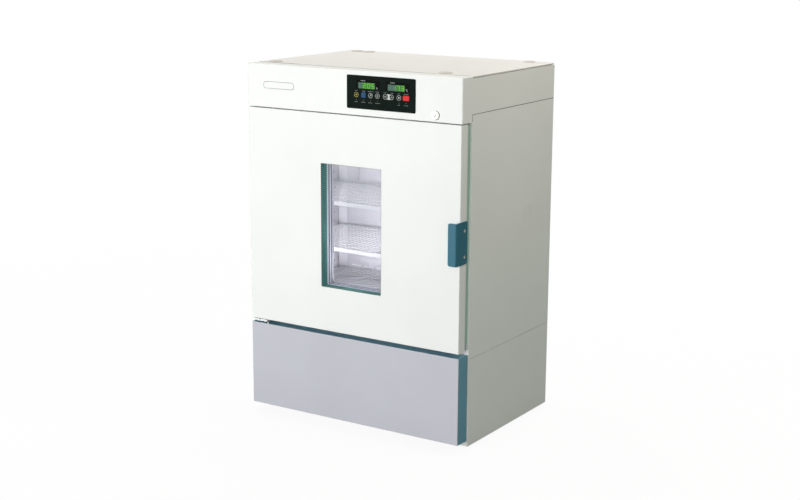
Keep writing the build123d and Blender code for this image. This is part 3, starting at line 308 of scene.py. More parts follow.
def piped(name, colour):
    """Bare copper tube, dulled and darkened in patches."""
    made = Finish(name, Metallic=1.0)
    age = made.remap(made.noise(35, 5), 0.0, 1.0, 0.35, 0.65)
    made.feed("Base Color", made.blend(age, colour, scaled(colour, 0.55)))
    made.feed("Roughness", made.remap(age, 0.22, 0.48, 0.0, 1.0))
    made.relief(made.noise(500, 2), 0.02 * MM)
    return made.material


WHITE, LID = (0.845, 0.852, 0.842, 1.0), (0.84, 0.825, 0.80, 1.0)
TEAL, LAVENDER, BLUE = (0.145, 0.33, 0.44, 1.0), (0.515, 0.515, 0.575, 1.0), (0.04, 0.16, 0.23, 1.0)
BLACK_METAL, BLACK_PLASTIC, BLACK_RUBBER = (
    (0.018, 0.018, 0.019, 1.0), (0.022, 0.022, 0.023, 1.0), (0.02, 0.02, 0.02, 1.0)
)
OVERLAY, DISPLAY = srgb(13, 25, 21), srgb(7, 9, 8)
# Each enamel's fourth value is its painted edge tone: lighter on the white, lid and lavender (a painted
# highlight), darker on the teal and blue
FINISHES = {
    "white_enamel": enamel("enamel_white", WHITE, 0.42, scaled(WHITE, 1.04), Specular_IOR_Level=0.25),
    "lid_enamel": enamel("enamel_lid", LID, 0.42, scaled(LID, 1.1)),
    "cover_teal": enamel("enamel_teal", TEAL, 0.42, scaled(TEAL, 0.5), drift=0.06),
    "cover_lavender": enamel("enamel_lavender", LAVENDER, 0.42, scaled(LAVENDER, 1.15), drift=0.03),
    "handle_blue": enamel("enamel_blue", BLUE, 0.4, scaled(BLUE, 0.25), 0.9, 0.07, Specular_IOR_Level=0.2),
    "stainless": brushed("steel_brushed", (0.60, 0.592, 0.63, 1.0), 0.45, "X", metallic=0.35),
    "zinc_steel": plated("steel_zinc", (0.80, 0.80, 0.79, 1.0)),
    "shelf_coating": moulded("epoxy_white", (0.43, 0.44, 0.455, 1.0), 0.4, 700, 0.02, 0.03),
    "window_teal": hatched("spacer_teal", srgb(70, 128, 126), srgb(118, 172, 166), 5.4 * MM),
    "glass": glazed("glass_clear", (0.985, 0.99, 0.99, 1.0)),
    "gasket_rubber": moulded("rubber_gasket", srgb(160, 192, 178), 0.6, 500, 0.05),
    "frame_plastic": moulded("plastic_frame", (0.74, 0.75, 0.73, 1.0), 0.45, 700, 0.03, 0.03),
    "foam": foamed("foam_urethane", (0.70, 0.60, 0.33, 1.0)),
    "panel_black": moulded("overlay_black", OVERLAY, 0.5, 1600, 0.012, 0.1, Specular_IOR_Level=0.025),
    "display_black": moulded("window_black", DISPLAY, 0.3, 2000, 0.004, 0.15, Specular_IOR_Level=0.01),
    "button_dark": moulded("cap_dark", srgb(14, 24, 21), 0.45, 1500, 0.01, 0.1, Specular_IOR_Level=0.08),
    "button_yellow": moulded("cap_run", srgb(18, 26, 20), 0.45, 1500, 0.01, 0.1, Specular_IOR_Level=0.08),
    "button_blue": moulded("cap_blue", srgb(28, 74, 118), 0.45, 1500, 0.01, 0.06, Specular_IOR_Level=0.1),
    "button_red": moulded("cap_red", srgb(214, 44, 44), 0.45, 1500, 0.01, 0.06, Specular_IOR_Level=0.1),
    "chrome": brushed("steel_bright", (0.80, 0.79, 0.76, 1.0), 0.3, "Z", metallic=0.7),
    "plug_grey": moulded("silicone_grey", (0.82, 0.828, 0.815, 1.0), 0.5, 650, 0.03, 0.02),
    "lid_plug": moulded("rubber_beige", (0.62, 0.585, 0.54, 1.0), 0.5, 650, 0.03, 0.04),
    "circuit_green": circuit("board_green"),
    "aluminium_fins": finned("aluminium_sheet", (0.66, 0.68, 0.70, 1.0)),
    "copper": piped("copper_tube", (0.72, 0.36, 0.22, 1.0)),
    "black_metal": moulded("paint_black", BLACK_METAL, 0.38, 500, 0.03, 0.2, Coat_Weight=0.3),
    "black_plastic": moulded("plastic_black", BLACK_PLASTIC, 0.5, 1000, 0.04, 0.15),
    "black_rubber": moulded("rubber_black", BLACK_RUBBER, 0.75, 600, 0.06, 0.2),
    "nylon": moulded("plastic_nylon", (0.78, 0.76, 0.68, 1.0), 0.5, 800, 0.03, 0.03),
}
for part in frame["record"]["subparts"]:
    for place in frame["nodes"][part["node"]].material_slots:
        place.material = FINISHES[part["material_slot"]]

PRINT_GREY = moulded("print_grey", srgb(120, 128, 124), 0.5, 1800, 0.004, 0.12)
PRINT_WHITE = moulded("print_white", srgb(196, 202, 198), 0.5, 1800, 0.004, 0.08)
PRINT_YELLOW = moulded("print_yellow", srgb(214, 196, 40), 0.5, 1800, 0.004, 0.08)
PRINT_DARK = moulded("print_dark", srgb(18, 40, 66), 0.5, 1800, 0.004, 0.1)
LAMP_OFF = moulded("lamp_lens", srgb(96, 112, 100), 0.2, 900, 0.01, 0.15, Transmission_Weight=0.2)
SCREEN_DIM = glowing("screen_unlit", srgb(70, 100, 86), srgb(26, 56, 48), 0.3)
SCREEN_LIT = glowing("screen_lit", srgb(50, 104, 46), srgb(50, 128, 40), 0.45)
DIGIT_DIM = glowing("segment_unlit", srgb(84, 116, 102), srgb(50, 84, 70), 0.2)
DIGIT_LIT = glowing("segment_lit", srgb(100, 164, 58), srgb(120, 200, 56), 0.32)
BADGE_LINE = moulded("badge_line", srgb(92, 106, 132), 0.4, 1500, 0.006, 0.06)

# ---------------------------------------------------------------- mesh tools

ALONG_X, ALONG_Y, ALONG_Z = range(3)
SUNK = 0.02 * MM  # how deep a print reaches into the surface that it is on


def rounded(x, z, wide, tall, radius, steps=6):
    """The loop of a rounded rectangle; a radius of half its size makes it a circle."""
    loop = []
    for corner, (side, end) in enumerate(((1, 1), (-1, 1), (-1, -1), (1, -1))):
        for step in range(steps + 1):
            turn = math.radians(90 * (corner + step / steps))
            across = x + side * (wide / 2 - radius) + radius * math.cos(turn)
            loop.append((across, z + end * (tall / 2 - radius) + radius * math.sin(turn)))
    return loop


def disc(x, z, radius, steps=8):
    """The loop of a circle."""
    return rounded(x, z, 2 * radius, 2 * radius, radius, steps)


def dash(start, end, width, steps=4):
    """The loop of a straight stroke with round ends."""
    heading = math.atan2(end[1] - start[1], end[0] - start[0])
    loop = []
    for centre, turned in ((end, -90), (start, 90)):
        for step in range(steps + 1):
            turn = heading + math.radians(turned + 180 * step / steps)
            across = centre[0] + width / 2 * math.cos(turn)
            loop.append((across, centre[1] + width / 2 * math.sin(turn)))
    return loop


def arc(x, z, radius, start, end, width, steps=12):
    """The loop of a curved stroke about a centre, between two angles in degrees."""
    outer, inner = [], []
    for step in range(steps + 1):
        turn = math.radians(start + (end - start) * step / steps)
        for loop, reach in ((outer, radius + width / 2), (inner, radius - width / 2)):
            loop.append((x + reach * math.cos(turn), z + reach * math.sin(turn)))
    return outer + inner[::-1]


def prism(shape, loop, near, far, axis=ALONG_Y):
    """Adds a solid along an axis, with a flat loop as its ends; a point lacks that axis's coordinate."""
    ends = [
        [shape.verts.new((*point[:axis], level, *point[axis:])) for point in loop]
        for level in (near, far)
    ]
    shape.faces.new(ends[0])
    shape.faces.new(ends[1])
    for index in range(len(loop)):
        shape.faces.new((ends[0][index - 1], ends[0][index], ends[1][index], ends[1][index - 1]))


def ring(shape, outer, inner, near, far):
    """Adds a solid band between two loops that have as many points as each other."""
    loops = [
        [shape.verts.new((x, y, z)) for x, z in loop]
        for y, loop in ((near, outer), (near, inner), (far, inner), (far, outer))
    ]
    for first, second in zip(loops, loops[1:] + loops[:1]):
        for index in range(len(outer)):
            shape.faces.new((first[index - 1], first[index], second[index], second[index - 1]))


def dome(shape, centre, normal, radius, height, recess=0.0, spokes=40, rings=9):
    """Adds a domed head standing on a surface; recess is how deep its cross slot goes."""
    turn = Vector(normal).to_track_quat("Z", "Y")
    slot, arm = 0.17 * radius, 0.62 * radius

    def vertex(across, angle, level):
        x, y = across * math.cos(angle), across * math.sin(angle)
        if min(abs(x), abs(y)) < slot and across < arm:
            level -= recess
        return shape.verts.new(Vector(centre) + turn @ Vector((x, y, level)))

    angles = [2 * math.pi * spoke / spokes for spoke in range(spokes)]
    profile = [(radius, 0.0), (radius, 0.35 * height)]
    for step in range(rings):
        share = 1 - step / rings
        profile.append((0.97 * radius * share, height * (1 - 0.6 * share ** 3)))
    rows = [[vertex(across, angle, level) for angle in angles] for across, level in profile]
    shape.faces.new(rows[0])
    for low, high in zip(rows, rows[1:]):
        for index in range(spokes):
            shape.faces.new((low[index - 1], low[index], high[index], high[index - 1]))
    shape.faces.new(rows[-1])


def piece(name, shape, material, body, soften=0.0):
    """Makes the object from its bmesh; it rides on a CAD body and takes its finish from a slot."""
    bmesh.ops.recalc_face_normals(shape, faces=shape.faces)
    mesh = bpy.data.meshes.new(name)
    shape.to_mesh(mesh)
    shape.free()
    mesh.materials.append(material)
    made = bpy.data.objects.new(name, mesh)
    bpy.context.scene.collection.objects.link(made)
    if soften:
        bevel = made.modifiers.new("soft_edges", "BEVEL")
        bevel.width, bevel.segments, bevel.limit_method = soften, 2, "ANGLE"
    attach(made, body)
    return made


def printed(name, loops, level, height, material, body):
    """Flat shapes that stand a little proud of a surface facing the front."""
    shape = bmesh.new()
    for loop in loops:
        prism(shape, loop, level - height, level + SUNK)
    return piece(name, shape, material, body)


# ---------------------------------------------------------------- keypad head

INK = 0.08 * MM
KEYS = ("run", "mode", "select", "set", "down", "up", "enter", "stop")
CAP_RIM, RING_INSETS = 1.2 * MM, (0.72 * MM, 1.5 * MM)
keys = {}
for key in KEYS:
    low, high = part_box(f"button_{key}")
    keys[key] = ((low.x + high.x) / 2, (low.z + high.z) / 2, (high.x - low.x) / 2 - CAP_RIM, low.y)
key_z = keys["run"][1]


def key_print(key, loops, material=PRINT_WHITE):
    """A mark printed on one key's cap; it moves with the key."""
    body = f"button_{key}"
    printed(f"{body}_mark", loops, keys[key][3], INK, material, body)


def key_ring(key, material):
    """The printed ring round the edge of a round key."""
    x, z, radius, level = keys[key]
    shape = bmesh.new()
    outer, inner = (disc(x, z, radius - inset) for inset in RING_INSETS)
    ring(shape, outer, inner, level - INK, level + SUNK)
    piece(f"button_{key}_ring", shape, material, f"button_{key}")


def strokes(x, z, lines, width):
    """Straight strokes, given in millimetres from a middle point."""
    return [
        dash((x + a * MM, z + b * MM), (x + c * MM, z + d * MM), width * MM) for a, b, c, d in lines
    ]


key_ring("run", PRINT_YELLOW)
for key in ("select", "set", "down", "up", "enter"):
    key_ring(key, PRINT_WHITE)

# The straight strokes of the marks, with their width: a tick, an arrow, a weight, a minus, a chevron
KEY_STROKES = {
    "mode": (1.3, [(-3, 1, -1, -2.5), (-1, -2.5, 3, 3), (3, 3, 3, -1)]),
    "select": (0.9, [(-2.6, -2.4, 2.6, 2.6), (0.4, 2.8, 2.8, 2.8), (2.8, 2.8, 2.8, 0.4)]),
    "set": (0.9, [
        (-2, -2.2, 2, -2.2), (-2, -2.2, -1.4, 1.8), (2, -2.2, 1.4, 1.8), (-1.2, 2.2, 1.2, 2.2),
    ]),
    "down": (1.4, [(-2.6, 0, 2.6, 0)]),
    "up": (1.2, [(-2.4, -1.4, 0, 1.8), (0, 1.8, 2.4, -1.4)]),
}
RUN_DOT, ENTER_DOT, STOP_SIZE = 1.6 * MM, 2.1 * MM, (15 * MM, 9 * MM)
key_print("run", [disc(keys["run"][0], key_z, RUN_DOT)], PRINT_YELLOW)
for key, (width, lines) in KEY_STROKES.items():
    material = PRINT_DARK if key == "mode" else PRINT_WHITE
    key_print(key, strokes(*keys[key][:2], lines, width), material)
key_print("enter", [disc(keys["enter"][0], key_z, ENTER_DOT)])
key_print("stop", [rounded(keys["stop"][0], key_z, *STOP_SIZE, 2 * MM)], FINISHES["button_red"])

# The pale bridge between the minus and the chevron, with its ends hollowed round the two keys
BRIDGE_REACH, BRIDGE_STEPS, BRIDGE_TURN = 8.1 * MM, 6, math.radians(10)
bridge = []
for key, side in (("down", 1), ("up", -1)):
    for step in range(-BRIDGE_STEPS, BRIDGE_STEPS + 1):
        turn = -side * step * BRIDGE_TURN
        across = keys[key][0] + side * BRIDGE_REACH * math.cos(turn)
        bridge.append((across, key_z + BRIDGE_REACH * math.sin(turn)))
printed("key_bridge", [bridge], panel_face, INK, PRINT_WHITE, CABINET)

LEGEND_ABOVE, LEGEND_BELOW, LAMP_DROP = 10.5 * MM, 19.5 * MM, 13.5 * MM
LEGEND_TALL, LAMP_RADIUS, LAMP_TALL = 1.3 * MM, 1.3 * MM, 0.6 * MM
WORD_LENGTHS, WORD_GAP, SHORTEST_WORD = (2.2, 4.2), 1.9 * MM, 1.5 * MM


def legend(x, z, length):
    """A printed caption, as a line of blank words."""
    words, start = [], x - length / 2
    while start < x + length / 2 - SHORTEST_WORD:
        end = min(start + draw.uniform(*WORD_LENGTHS) * MM, x + length / 2)
        words.append(dash((start, z), (end, z), LEGEND_TALL, 2))
        start = end + WORD_GAP
    return words


legends, lamps = [], bmesh.new()
for key, above, below in (
    ("run", 9, 10), ("mode", 8, 14), ("select", 17, 15), ("set", 12, 14),
    ("down", 11, 0), ("up", 7, 0), ("enter", 9, 11), ("stop", 14, 12),
):
    legends += legend(keys[key][0], key_z + LEGEND_ABOVE, above * MM)
    if below:
        legends += legend(keys[key][0], key_z - LEGEND_BELOW, below * MM)
        lamp_place = (keys[key][0], panel_face, key_z - LAMP_DROP)
        dome(lamps, lamp_place, (0, -1, 0), LAMP_RADIUS, LAMP_TALL, spokes=20, rings=5)
printed("panel_legends", legends, panel_face, INK, PRINT_GREY, CABINET)
piece("status_lamps", lamps, LAMP_OFF, CABINET)

# The two displays: a screen with four places for digits, a caption above it and a unit beside it
DISPLAY_WIDE, SCREEN_LEFT, SCREEN_WIDE = 73.8 * MM, 5 * MM, 53 * MM
SCREEN_TALL, SCREEN_DROP = 16 * MM, 3.5 * MM
CAPTION_LEFT, CAPTION_DROP, CAPTION_LONG = 0.3 * SCREEN_WIDE, 3 * MM, 15 * MM
DIGIT_WIDE, DIGIT_TALL, SEGMENT, SEGMENT_GAP = 7.6 * MM, 11.4 * MM, 1.7 * MM, 0.12
SEGMENTS = {
    "a": ((0, 1), (1, 1)), "b": ((1, 1), (1, 0.5)), "c": ((1, 0.5), (1, 0)), "d": ((0, 0), (1, 0)),
    "e": ((0, 0), (0, 0.5)), "f": ((0, 0.5), (0, 1)), "g": ((0, 0.5), (1, 0.5)),
}
UNIT_GAP, UNIT_DROP, UNIT_STROKE = 6.5 * MM, 4.5 * MM, 0.8  # the stroke is in millimetres
DIGITS = {"0": "abcdef", "1": "bc", "2": "abged", "3": "abgcd", "5": "afgcd", "7": "abc", " ": ""}
display_face = display_low.y
screen_z = (display_low.z + display_high.z) / 2 - SCREEN_DROP
screens = {True: bmesh.new(), False: bmesh.new()}
digits = {True: [], False: []}
captions = []
for left, reading, unlit in ((display_low.x, " 205", 1), (display_high.x - DISPLAY_WIDE, " 173", 2)):
    start = left + SCREEN_LEFT
    place_wide = SCREEN_WIDE / len(reading)
    for lit, first, count in ((False, 0, unlit), (True, unlit, len(reading) - unlit)):
        middle = start + (first + count / 2) * place_wide
        outline = rounded(middle, screen_z, count * place_wide, SCREEN_TALL, 0.4 * MM, 2)
        prism(screens[lit], outline, display_face - INK, display_face + SUNK)
    for index, digit in enumerate(reading):
        corner = (start + (index + 0.5) * place_wide - DIGIT_WIDE / 2, screen_z - DIGIT_TALL / 2)
        for segment, ends in SEGMENTS.items():
            head, tail = (
                Vector((corner[0] + u * DIGIT_WIDE, corner[1] + v * DIGIT_TALL)) for u, v in ends
            )
            lit = segment in DIGITS[digit]
            if lit or index < unlit:
                inset = head.lerp(tail, SEGMENT_GAP), tail.lerp(head, SEGMENT_GAP)
                digits[lit].append(dash(*inset, SEGMENT, 2))
    captions += legend(start + CAPTION_LEFT, display_high.z - CAPTION_DROP, CAPTION_LONG)
    unit_x, unit_z = start + SCREEN_WIDE + UNIT_GAP, screen_z - UNIT_DROP
    if unlit == 1:  # hours: an h
        stem, leg = (-1.2, -2.2, -1.2, 2.6), (1.2, -2.2, 1.2, -0.2)
        captions += strokes(unit_x, unit_z, [stem], UNIT_STROKE)
        captions.append(arc(unit_x, unit_z - 0.2 * MM, 1.2 * MM, 0, 180, UNIT_STROKE * MM))
        captions += strokes(unit_x, unit_z, [leg], UNIT_STROKE)
    else:  # degrees: a small ring and a C
        captions.append(arc(unit_x - 2.4 * MM, unit_z + 2.2 * MM, 0.7 * MM, 0, 350, 0.5 * MM))
        captions.append(arc(unit_x + 0.8 * MM, unit_z, 2.2 * MM, 50, 310, UNIT_STROKE * MM))
piece("display_screens_unlit", screens[False], SCREEN_DIM, CABINET)
piece("display_screens_lit", screens[True], SCREEN_LIT, CABINET)
screen_face = display_face - INK
for label, lit, material in (("unlit", False, DIGIT_DIM), ("lit", True, DIGIT_LIT)):
    printed(f"display_segments_{label}", digits[lit], screen_face, INK, material, CABINET)
printed("display_captions", captions, display_face, INK, PRINT_WHITE, CABINET)

# ---------------------------------------------------------------- badge

BADGE_LEFT, BADGE_RISE, BADGE_SIZE = 55 * MM, 7 * MM, (108 * MM, 22 * MM)
BADGE_PROUD, LINE_INSET, LINE_WIDE = 0.5 * MM, 1.1 * MM, 1.2 * MM
badge_x, badge_z = hood_low.x + BADGE_LEFT + BADGE_SIZE[0] / 2, key_z + BADGE_RISE


def badge_loop(inset):
    """The badge's outline, drawn in by a distance."""
    wide, tall = (side - 2 * inset for side in BADGE_SIZE)
    return rounded(badge_x, badge_z, wide, tall, tall / 2, 12)


badge, line = bmesh.new(), bmesh.new()
badge_face = FRONT - BADGE_PROUD
prism(badge, badge_loop(0), badge_face, FRONT + SUNK)
piece("badge_plate", badge, FINISHES["white_enamel"], CABINET, soften=0.2 * MM)
ring(line, badge_loop(LINE_INSET), badge_loop(LINE_INSET + LINE_WIDE), badge_face - INK, badge_face + SUNK)
piece("badge_outline", line, BADGE_LINE, CABINET)

# ---------------------------------------------------------------- lock

lock_x, lock_z = (lock_low.x + lock_high.x) / 2, (lock_low.z + lock_high.z) / 2
BEZEL_STEPS = 48
BEZEL_PROFILE = (  # radius and how far it stands out, in millimetres, round the section
    (12.2, 0.0), (12.1, 2.0), (11.4, 3.1), (10.2, 3.7), (8.6, 3.8), (7.2, 3.4), (6.5, 2.9),
    (6.5, 2.0), (11.0, 0.0),
)
bezel, rows = bmesh.new(), []
for radius, proud in BEZEL_PROFILE:
    row = []
    for step in range(BEZEL_STEPS):
        turn = 2 * math.pi * step / BEZEL_STEPS
        x, z = lock_x + radius * MM * math.cos(turn), lock_z + radius * MM * math.sin(turn)
        row.append(bezel.verts.new((x, FRONT - proud * MM, z)))
    rows.append(row)
for low, high in zip(rows, rows[1:] + rows[:1]):
    for index in range(BEZEL_STEPS):
        bezel.faces.new((low[index - 1], low[index], high[index], high[index - 1]))
bezel_piece = piece("lock_bezel", bezel, FINISHES["chrome"], CABINET)
bezel_piece.data.shade_smooth()

# ---------------------------------------------------------------- painted shade at the lid and head joints, hinge stop, key

# A brownish strip along the lid's front edge, a little proud of its top: painted shade for the shadow in
# the gap between the lid and the head's front
SEAM_SHADE = moulded("seam_shade", srgb(176, 168, 154), 0.7, 700, 0.03)
SEAM_WIDE, SEAM_INSET, SEAM_ROUND = 5 * MM, 6 * MM, 1.5 * MM
SEAM_PROUD, SEAM_DEEP = 0.3 * MM, 1.0 * MM
seam = bmesh.new()
seam_long = hood_high.x - hood_low.x - 2 * SEAM_INSET
seam_loop = rounded(0, lid_front - SEAM_WIDE / 2 + SEAM_ROUND, seam_long, SEAM_WIDE, SEAM_ROUND, 3)
prism(seam, seam_loop, TOP + SEAM_PROUD, TOP - SEAM_DEEP, ALONG_Z)
piece("lid_front_seam_shade", seam, SEAM_SHADE, CABINET)

# A darker strip on the lid's top at its front left corner: painted shade for the shadow of the gap there
GAP_SHADE = moulded("gap_shadow", srgb(104, 90, 70), 0.8, 700, 0.02)
GAP_LEFT, GAP_LENGTH, GAP_WIDE, GAP_TALL = 24 * MM, 120 * MM, 2.4 * MM, 0.6 * MM
gap = bmesh.new()
gap_x, gap_y = hood_low.x + GAP_LEFT + GAP_LENGTH / 2, lid_front - GAP_WIDE / 4
prism(gap, rounded(gap_x, gap_y, GAP_LENGTH, GAP_WIDE, 1.0 * MM, 3), TOP + GAP_TALL, TOP, ALONG_Z)
piece("lid_corner_shade", gap, GAP_SHADE, CABINET)

# The head's edge on each side, down its front step and along the side panel's top: a dark strip of painted
# shade in the joint
JOINT_SHADE = moulded("joint_shadow", srgb(96, 92, 84), 0.8, 700, 0.02)
JOINT_WIDE, JOINT_PROUD, JOINT_START = 1.5 * MM, 0.12 * MM, 4 * MM
step_front, step_rear = side_low.y - JOINT_WIDE / 2, side_low.y + JOINT_WIDE / 2
joint_loop = [
    (step_front, door_high.z + JOINT_START),
    (step_rear, door_high.z + JOINT_START),
    (step_rear, side_high.z),
    (side_high.y, side_high.z),
    (side_high.y, side_high.z + JOINT_WIDE),
    (step_front, side_high.z + JOINT_WIDE),
]
for side, label in ((-1, "left"), (1, "right")):
    joint = bmesh.new()
    wall = side * side_high.x
    prism(joint, joint_loop, wall + side * JOINT_PROUD, wall - side * 0.05 * MM, ALONG_X)
    piece(f"head_joint_{label}", joint, JOINT_SHADE, CABINET)

STOP_PLACE = (bracket_left + 55 * MM, FRONT + 3.4 * MM, cover_top)
STOP_RADIUS, STOP_TALL = 2.2 * MM, 5 * MM
stop = bmesh.new()
dome(stop, STOP_PLACE, (0, 0, 1), STOP_RADIUS, STOP_TALL, spokes=24, rings=6)
piece("hinge_stop", stop, FINISHES["nylon"], CABINET)

KEY_STEEL = moulded("key_bronze", srgb(150, 126, 108), 0.4, 900, 0.01)
KEY_RADII, KEY_PROUD = (4.4 * MM, 1.4 * MM), 0.15 * MM
key_face = bmesh.new()
key_loops = [disc(lock_x, lock_z, radius) for radius in KEY_RADII]
ring(key_face, *key_loops, plug_face - KEY_PROUD, plug_face + 0.05 * MM)
piece("lock_key_face", key_face, KEY_STEEL, "lock", soften=0.05 * MM)

# ---------------------------------------------------------------- window

TRIM_WIDE, TRIM_PROUD, LINING = 1.0 * MM, 0.35 * MM, 0.2 * MM
TUCK, PANE_GAP, PANE_THICK = 0.2 * MM, 0.1 * MM, 3.5 * MM
window_x, window_z = (window_low.x + window_high.x) / 2, (window_low.z + window_high.z) / 2
window_size = (window_high.x - window_low.x, window_high.z - window_low.z)
TRIM_BROWN = moulded("rubber_trim", srgb(142, 138, 124), 0.6, 700, 0.03)


def window_ring(name, margins, depths, material):
    """A band round the window, between two margins outside its outline and two depths along Y."""
    shape = bmesh.new()
    loops = [
        rounded(window_x, window_z, window_size[0] + 2 * margin, window_size[1] + 2 * margin, 1.2 * MM, 3)
        for margin in margins
    ]
    ring(shape, *loops, *depths)
    piece(name, shape, material, DOOR, soften=0.15 * MM)


def spacer_ring(name, margins, depths):
    """A band in the spacer's own hatched enamel."""
    window_ring(name, margins, depths, FINISHES["window_teal"])


trim_depths = (FRONT - TRIM_PROUD, FRONT + 0.6 * MM)
window_ring("window_edge_trim", (TRIM_WIDE, 0.1 * MM), trim_depths, TRIM_BROWN)
pane_front, pane_rear = window_low.y - PANE_GAP, window_high.y + PANE_GAP
spacer_ring("window_front_lining", (TUCK, -LINING), (FRONT + 0.7 * MM, pane_front))
spacer_ring("window_pane_edge", (0.24 * MM, 0.04 * MM), (pane_front, pane_rear))
spacer_ring("window_spacer_bar", (TUCK, -LINING), (pane_rear, frame_rear))

SEAL_GREY = moulded("sealant_grey", srgb(116, 118, 140), 0.6, 700, 0.03)
SEAL_DEEP, SEAL_WIDE, SEAL_GAP = 1.3 * MM, 1.6 * MM, 0.05 * MM
for label, face in (("middle", inner_low.y), ("inner", inner_high.y - PANE_THICK)):
    seal_depths = (face - SEAL_DEEP, face - SEAL_GAP)
    window_ring(f"pane_seal_{label}", (TUCK, -SEAL_WIDE), seal_depths, SEAL_GREY)

LINING_PALE = moulded("plastic_lining", (0.80, 0.81, 0.90, 1.0), 0.5, 700, 0.02, 0.03)
for label, start, end in (
    ("front", frame_rear + SEAL_GAP, inner_low.y - SEAL_DEEP),
    ("rear", inner_low.y + PANE_THICK, inner_high.y - PANE_THICK - SEAL_DEEP),
):
    window_ring(f"window_lining_{label}", (TUCK, -LINING), (start, end), LINING_PALE)

# ---------------------------------------------------------------- chamber: filter, painted highlight on shelf bars, corners

FILTER_SIZE, FILTER_THICK, FILTER_Z = (560 * MM, 24 * MM), 1.2 * MM, 366 * MM
DUCT_SHEET = 1.6 * MM
FLEECE = foamed("fleece_white", (0.80, 0.79, 0.84, 1.0))
fleece = bmesh.new()
filter_front = duct_low.y + DUCT_SHEET
prism(fleece, rounded(0, FILTER_Z, *FILTER_SIZE, 3 * MM, 3), filter_front, filter_front + FILTER_THICK)
piece("return_filter", fleece, FLEECE, CABINET)

# Each shelf's front bar gets a strip of a lighter copy of the shelf coating on its face: a painted
# highlight, for the light that the front faces catch more than the wires do
LIT_COAT = moulded("epoxy_painted_highlight", (0.62, 0.635, 0.655, 1.0), 0.4, 700, 0.02, 0.03)
LIP_TALL, LIP_DROP, LIP_PROUD, LIP_INSET = 10.8 * MM, 2.0 * MM, 0.15 * MM, 0.2 * MM
for shelf in ("shelf_upper", "shelf_middle", "shelf_lower"):
    shelf_low, shelf_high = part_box(shelf)
    lip = bmesh.new()
    lip_long = shelf_high.x - shelf_low.x - 2 * LIP_INSET
    lip_loop = rounded(0, shelf_high.z - LIP_DROP - LIP_TALL / 2, lip_long, LIP_TALL, 0.5 * MM, 3)
    prism(lip, lip_loop, shelf_low.y - LIP_PROUD, shelf_low.y + 0.05 * MM)
    piece(f"{shelf}_front_highlight", lip, LIT_COAT, shelf)

# A sloping sheet closes each corner between the duct panel and the chamber's side wall
CORNER_RUN, CORNER_SET, CORNER_THICK, CORNER_LEAN = 23 * MM, 12.8 * MM, 0.8 * MM, 0.6 * MM
CORNER_GAP, CORNER_TRIM, LINER_INSET = 0.2 * MM, 2 * MM, 2.5 * MM
wall_x, corner_y = liner_high.x - LINER_INSET, duct_low.y - CORNER_SET
corner_ends = (duct_low.z + CORNER_TRIM, duct_high.z - CORNER_TRIM)
for side, label in ((-1, "left"), (1, "right")):
    corner = bmesh.new()
    corner_loop = [
        (side * wall_x, corner_y),
        (side * (wall_x - CORNER_RUN), duct_low.y - CORNER_GAP),
        (side * (wall_x - CORNER_RUN), duct_low.y - CORNER_GAP - CORNER_THICK),
        (side * (wall_x - CORNER_LEAN), corner_y - CORNER_THICK),
    ]
    prism(corner, corner_loop, *corner_ends, ALONG_Z)
    piece(f"duct_corner_{label}", corner, FINISHES["stainless"], CABINET)

# ---------------------------------------------------------------- screws

SCREW_RADIUS, SCREW_HEIGHT, SCREW_SLOT, SCREW_INSET = 4 * MM, 2.2 * MM, 1.0 * MM, 14 * MM
rear_screws = bmesh.new()
for low, high, inset_z, count in (
    (rear_low, rear_high, 28 * MM, 4),
    (grille_low, grille_high, 22 * MM, 2),
):
    pitch_z = (high.z - low.z - 2 * inset_z) / (count - 1)
    for x in (low.x + SCREW_INSET, 0.0, high.x - SCREW_INSET):
        for row in range(count):
            if x == 0.0 and 0 < row < count - 1:
                continue
            place = (x, grille_high.y, low.z + inset_z + row * pitch_z)
            dome(rear_screws, place, (0, 1, 0), SCREW_RADIUS, SCREW_HEIGHT, SCREW_SLOT)
piece("rear_screws", rear_screws, FINISHES["chrome"], CABINET)

# ---------------------------------------------------------------- floor and backdrop

FLOOR_REACH = 60.0
GLOW_REACH, GLOW_SHARES = (0.6, 3.0), (0.93, 1.0)  # how much the paper glows, at two distances
floor_shape = bmesh.new()
bmesh.ops.create_circle(floor_shape, cap_ends=True, radius=FLOOR_REACH, segments=64)
floor_mesh = bpy.data.meshes.new("floor")
floor_shape.to_mesh(floor_mesh)
floor_shape.free()
floor = bpy.data.objects.new("floor", floor_mesh)
bpy.context.scene.collection.objects.link(floor)

floor_finish = Finish("floor_pale")
seen = floor_finish.node("ShaderNodeLightPath").outputs["Is Camera Ray"]
paper = floor_finish.node("ShaderNodeBsdfDiffuse", {"Color": (0.9, 0.9, 0.9, 1.0)})
glow = floor_finish.node("ShaderNodeEmission", {"Color": (1.0, 1.0, 1.0, 1.0), "Strength": 1.0})
away = floor_finish.node("ShaderNodeVectorMath", {0: floor_finish.place}, operation="LENGTH")
glow_share = floor_finish.remap(away.outputs["Value"], *GLOW_SHARES, *GLOW_REACH)
bright = floor_finish.node("ShaderNodeMixShader", {0: glow_share, 1: paper.outputs[0], 2: glow.outputs[0]})
dull = floor_finish.node("ShaderNodeBsdfDiffuse", {"Color": (0.16, 0.20, 0.175, 1.0)})
surface = floor_finish.node("ShaderNodeMixShader", {0: seen, 1: dull.outputs[0], 2: bright.outputs[0]})
floor_finish.tree.nodes.remove(floor_finish.shader)
floor_finish.tree.links.new(surface.outputs[0], floor_finish.output.inputs["Surface"])
floor_mesh.materials.append(floor_finish.material)

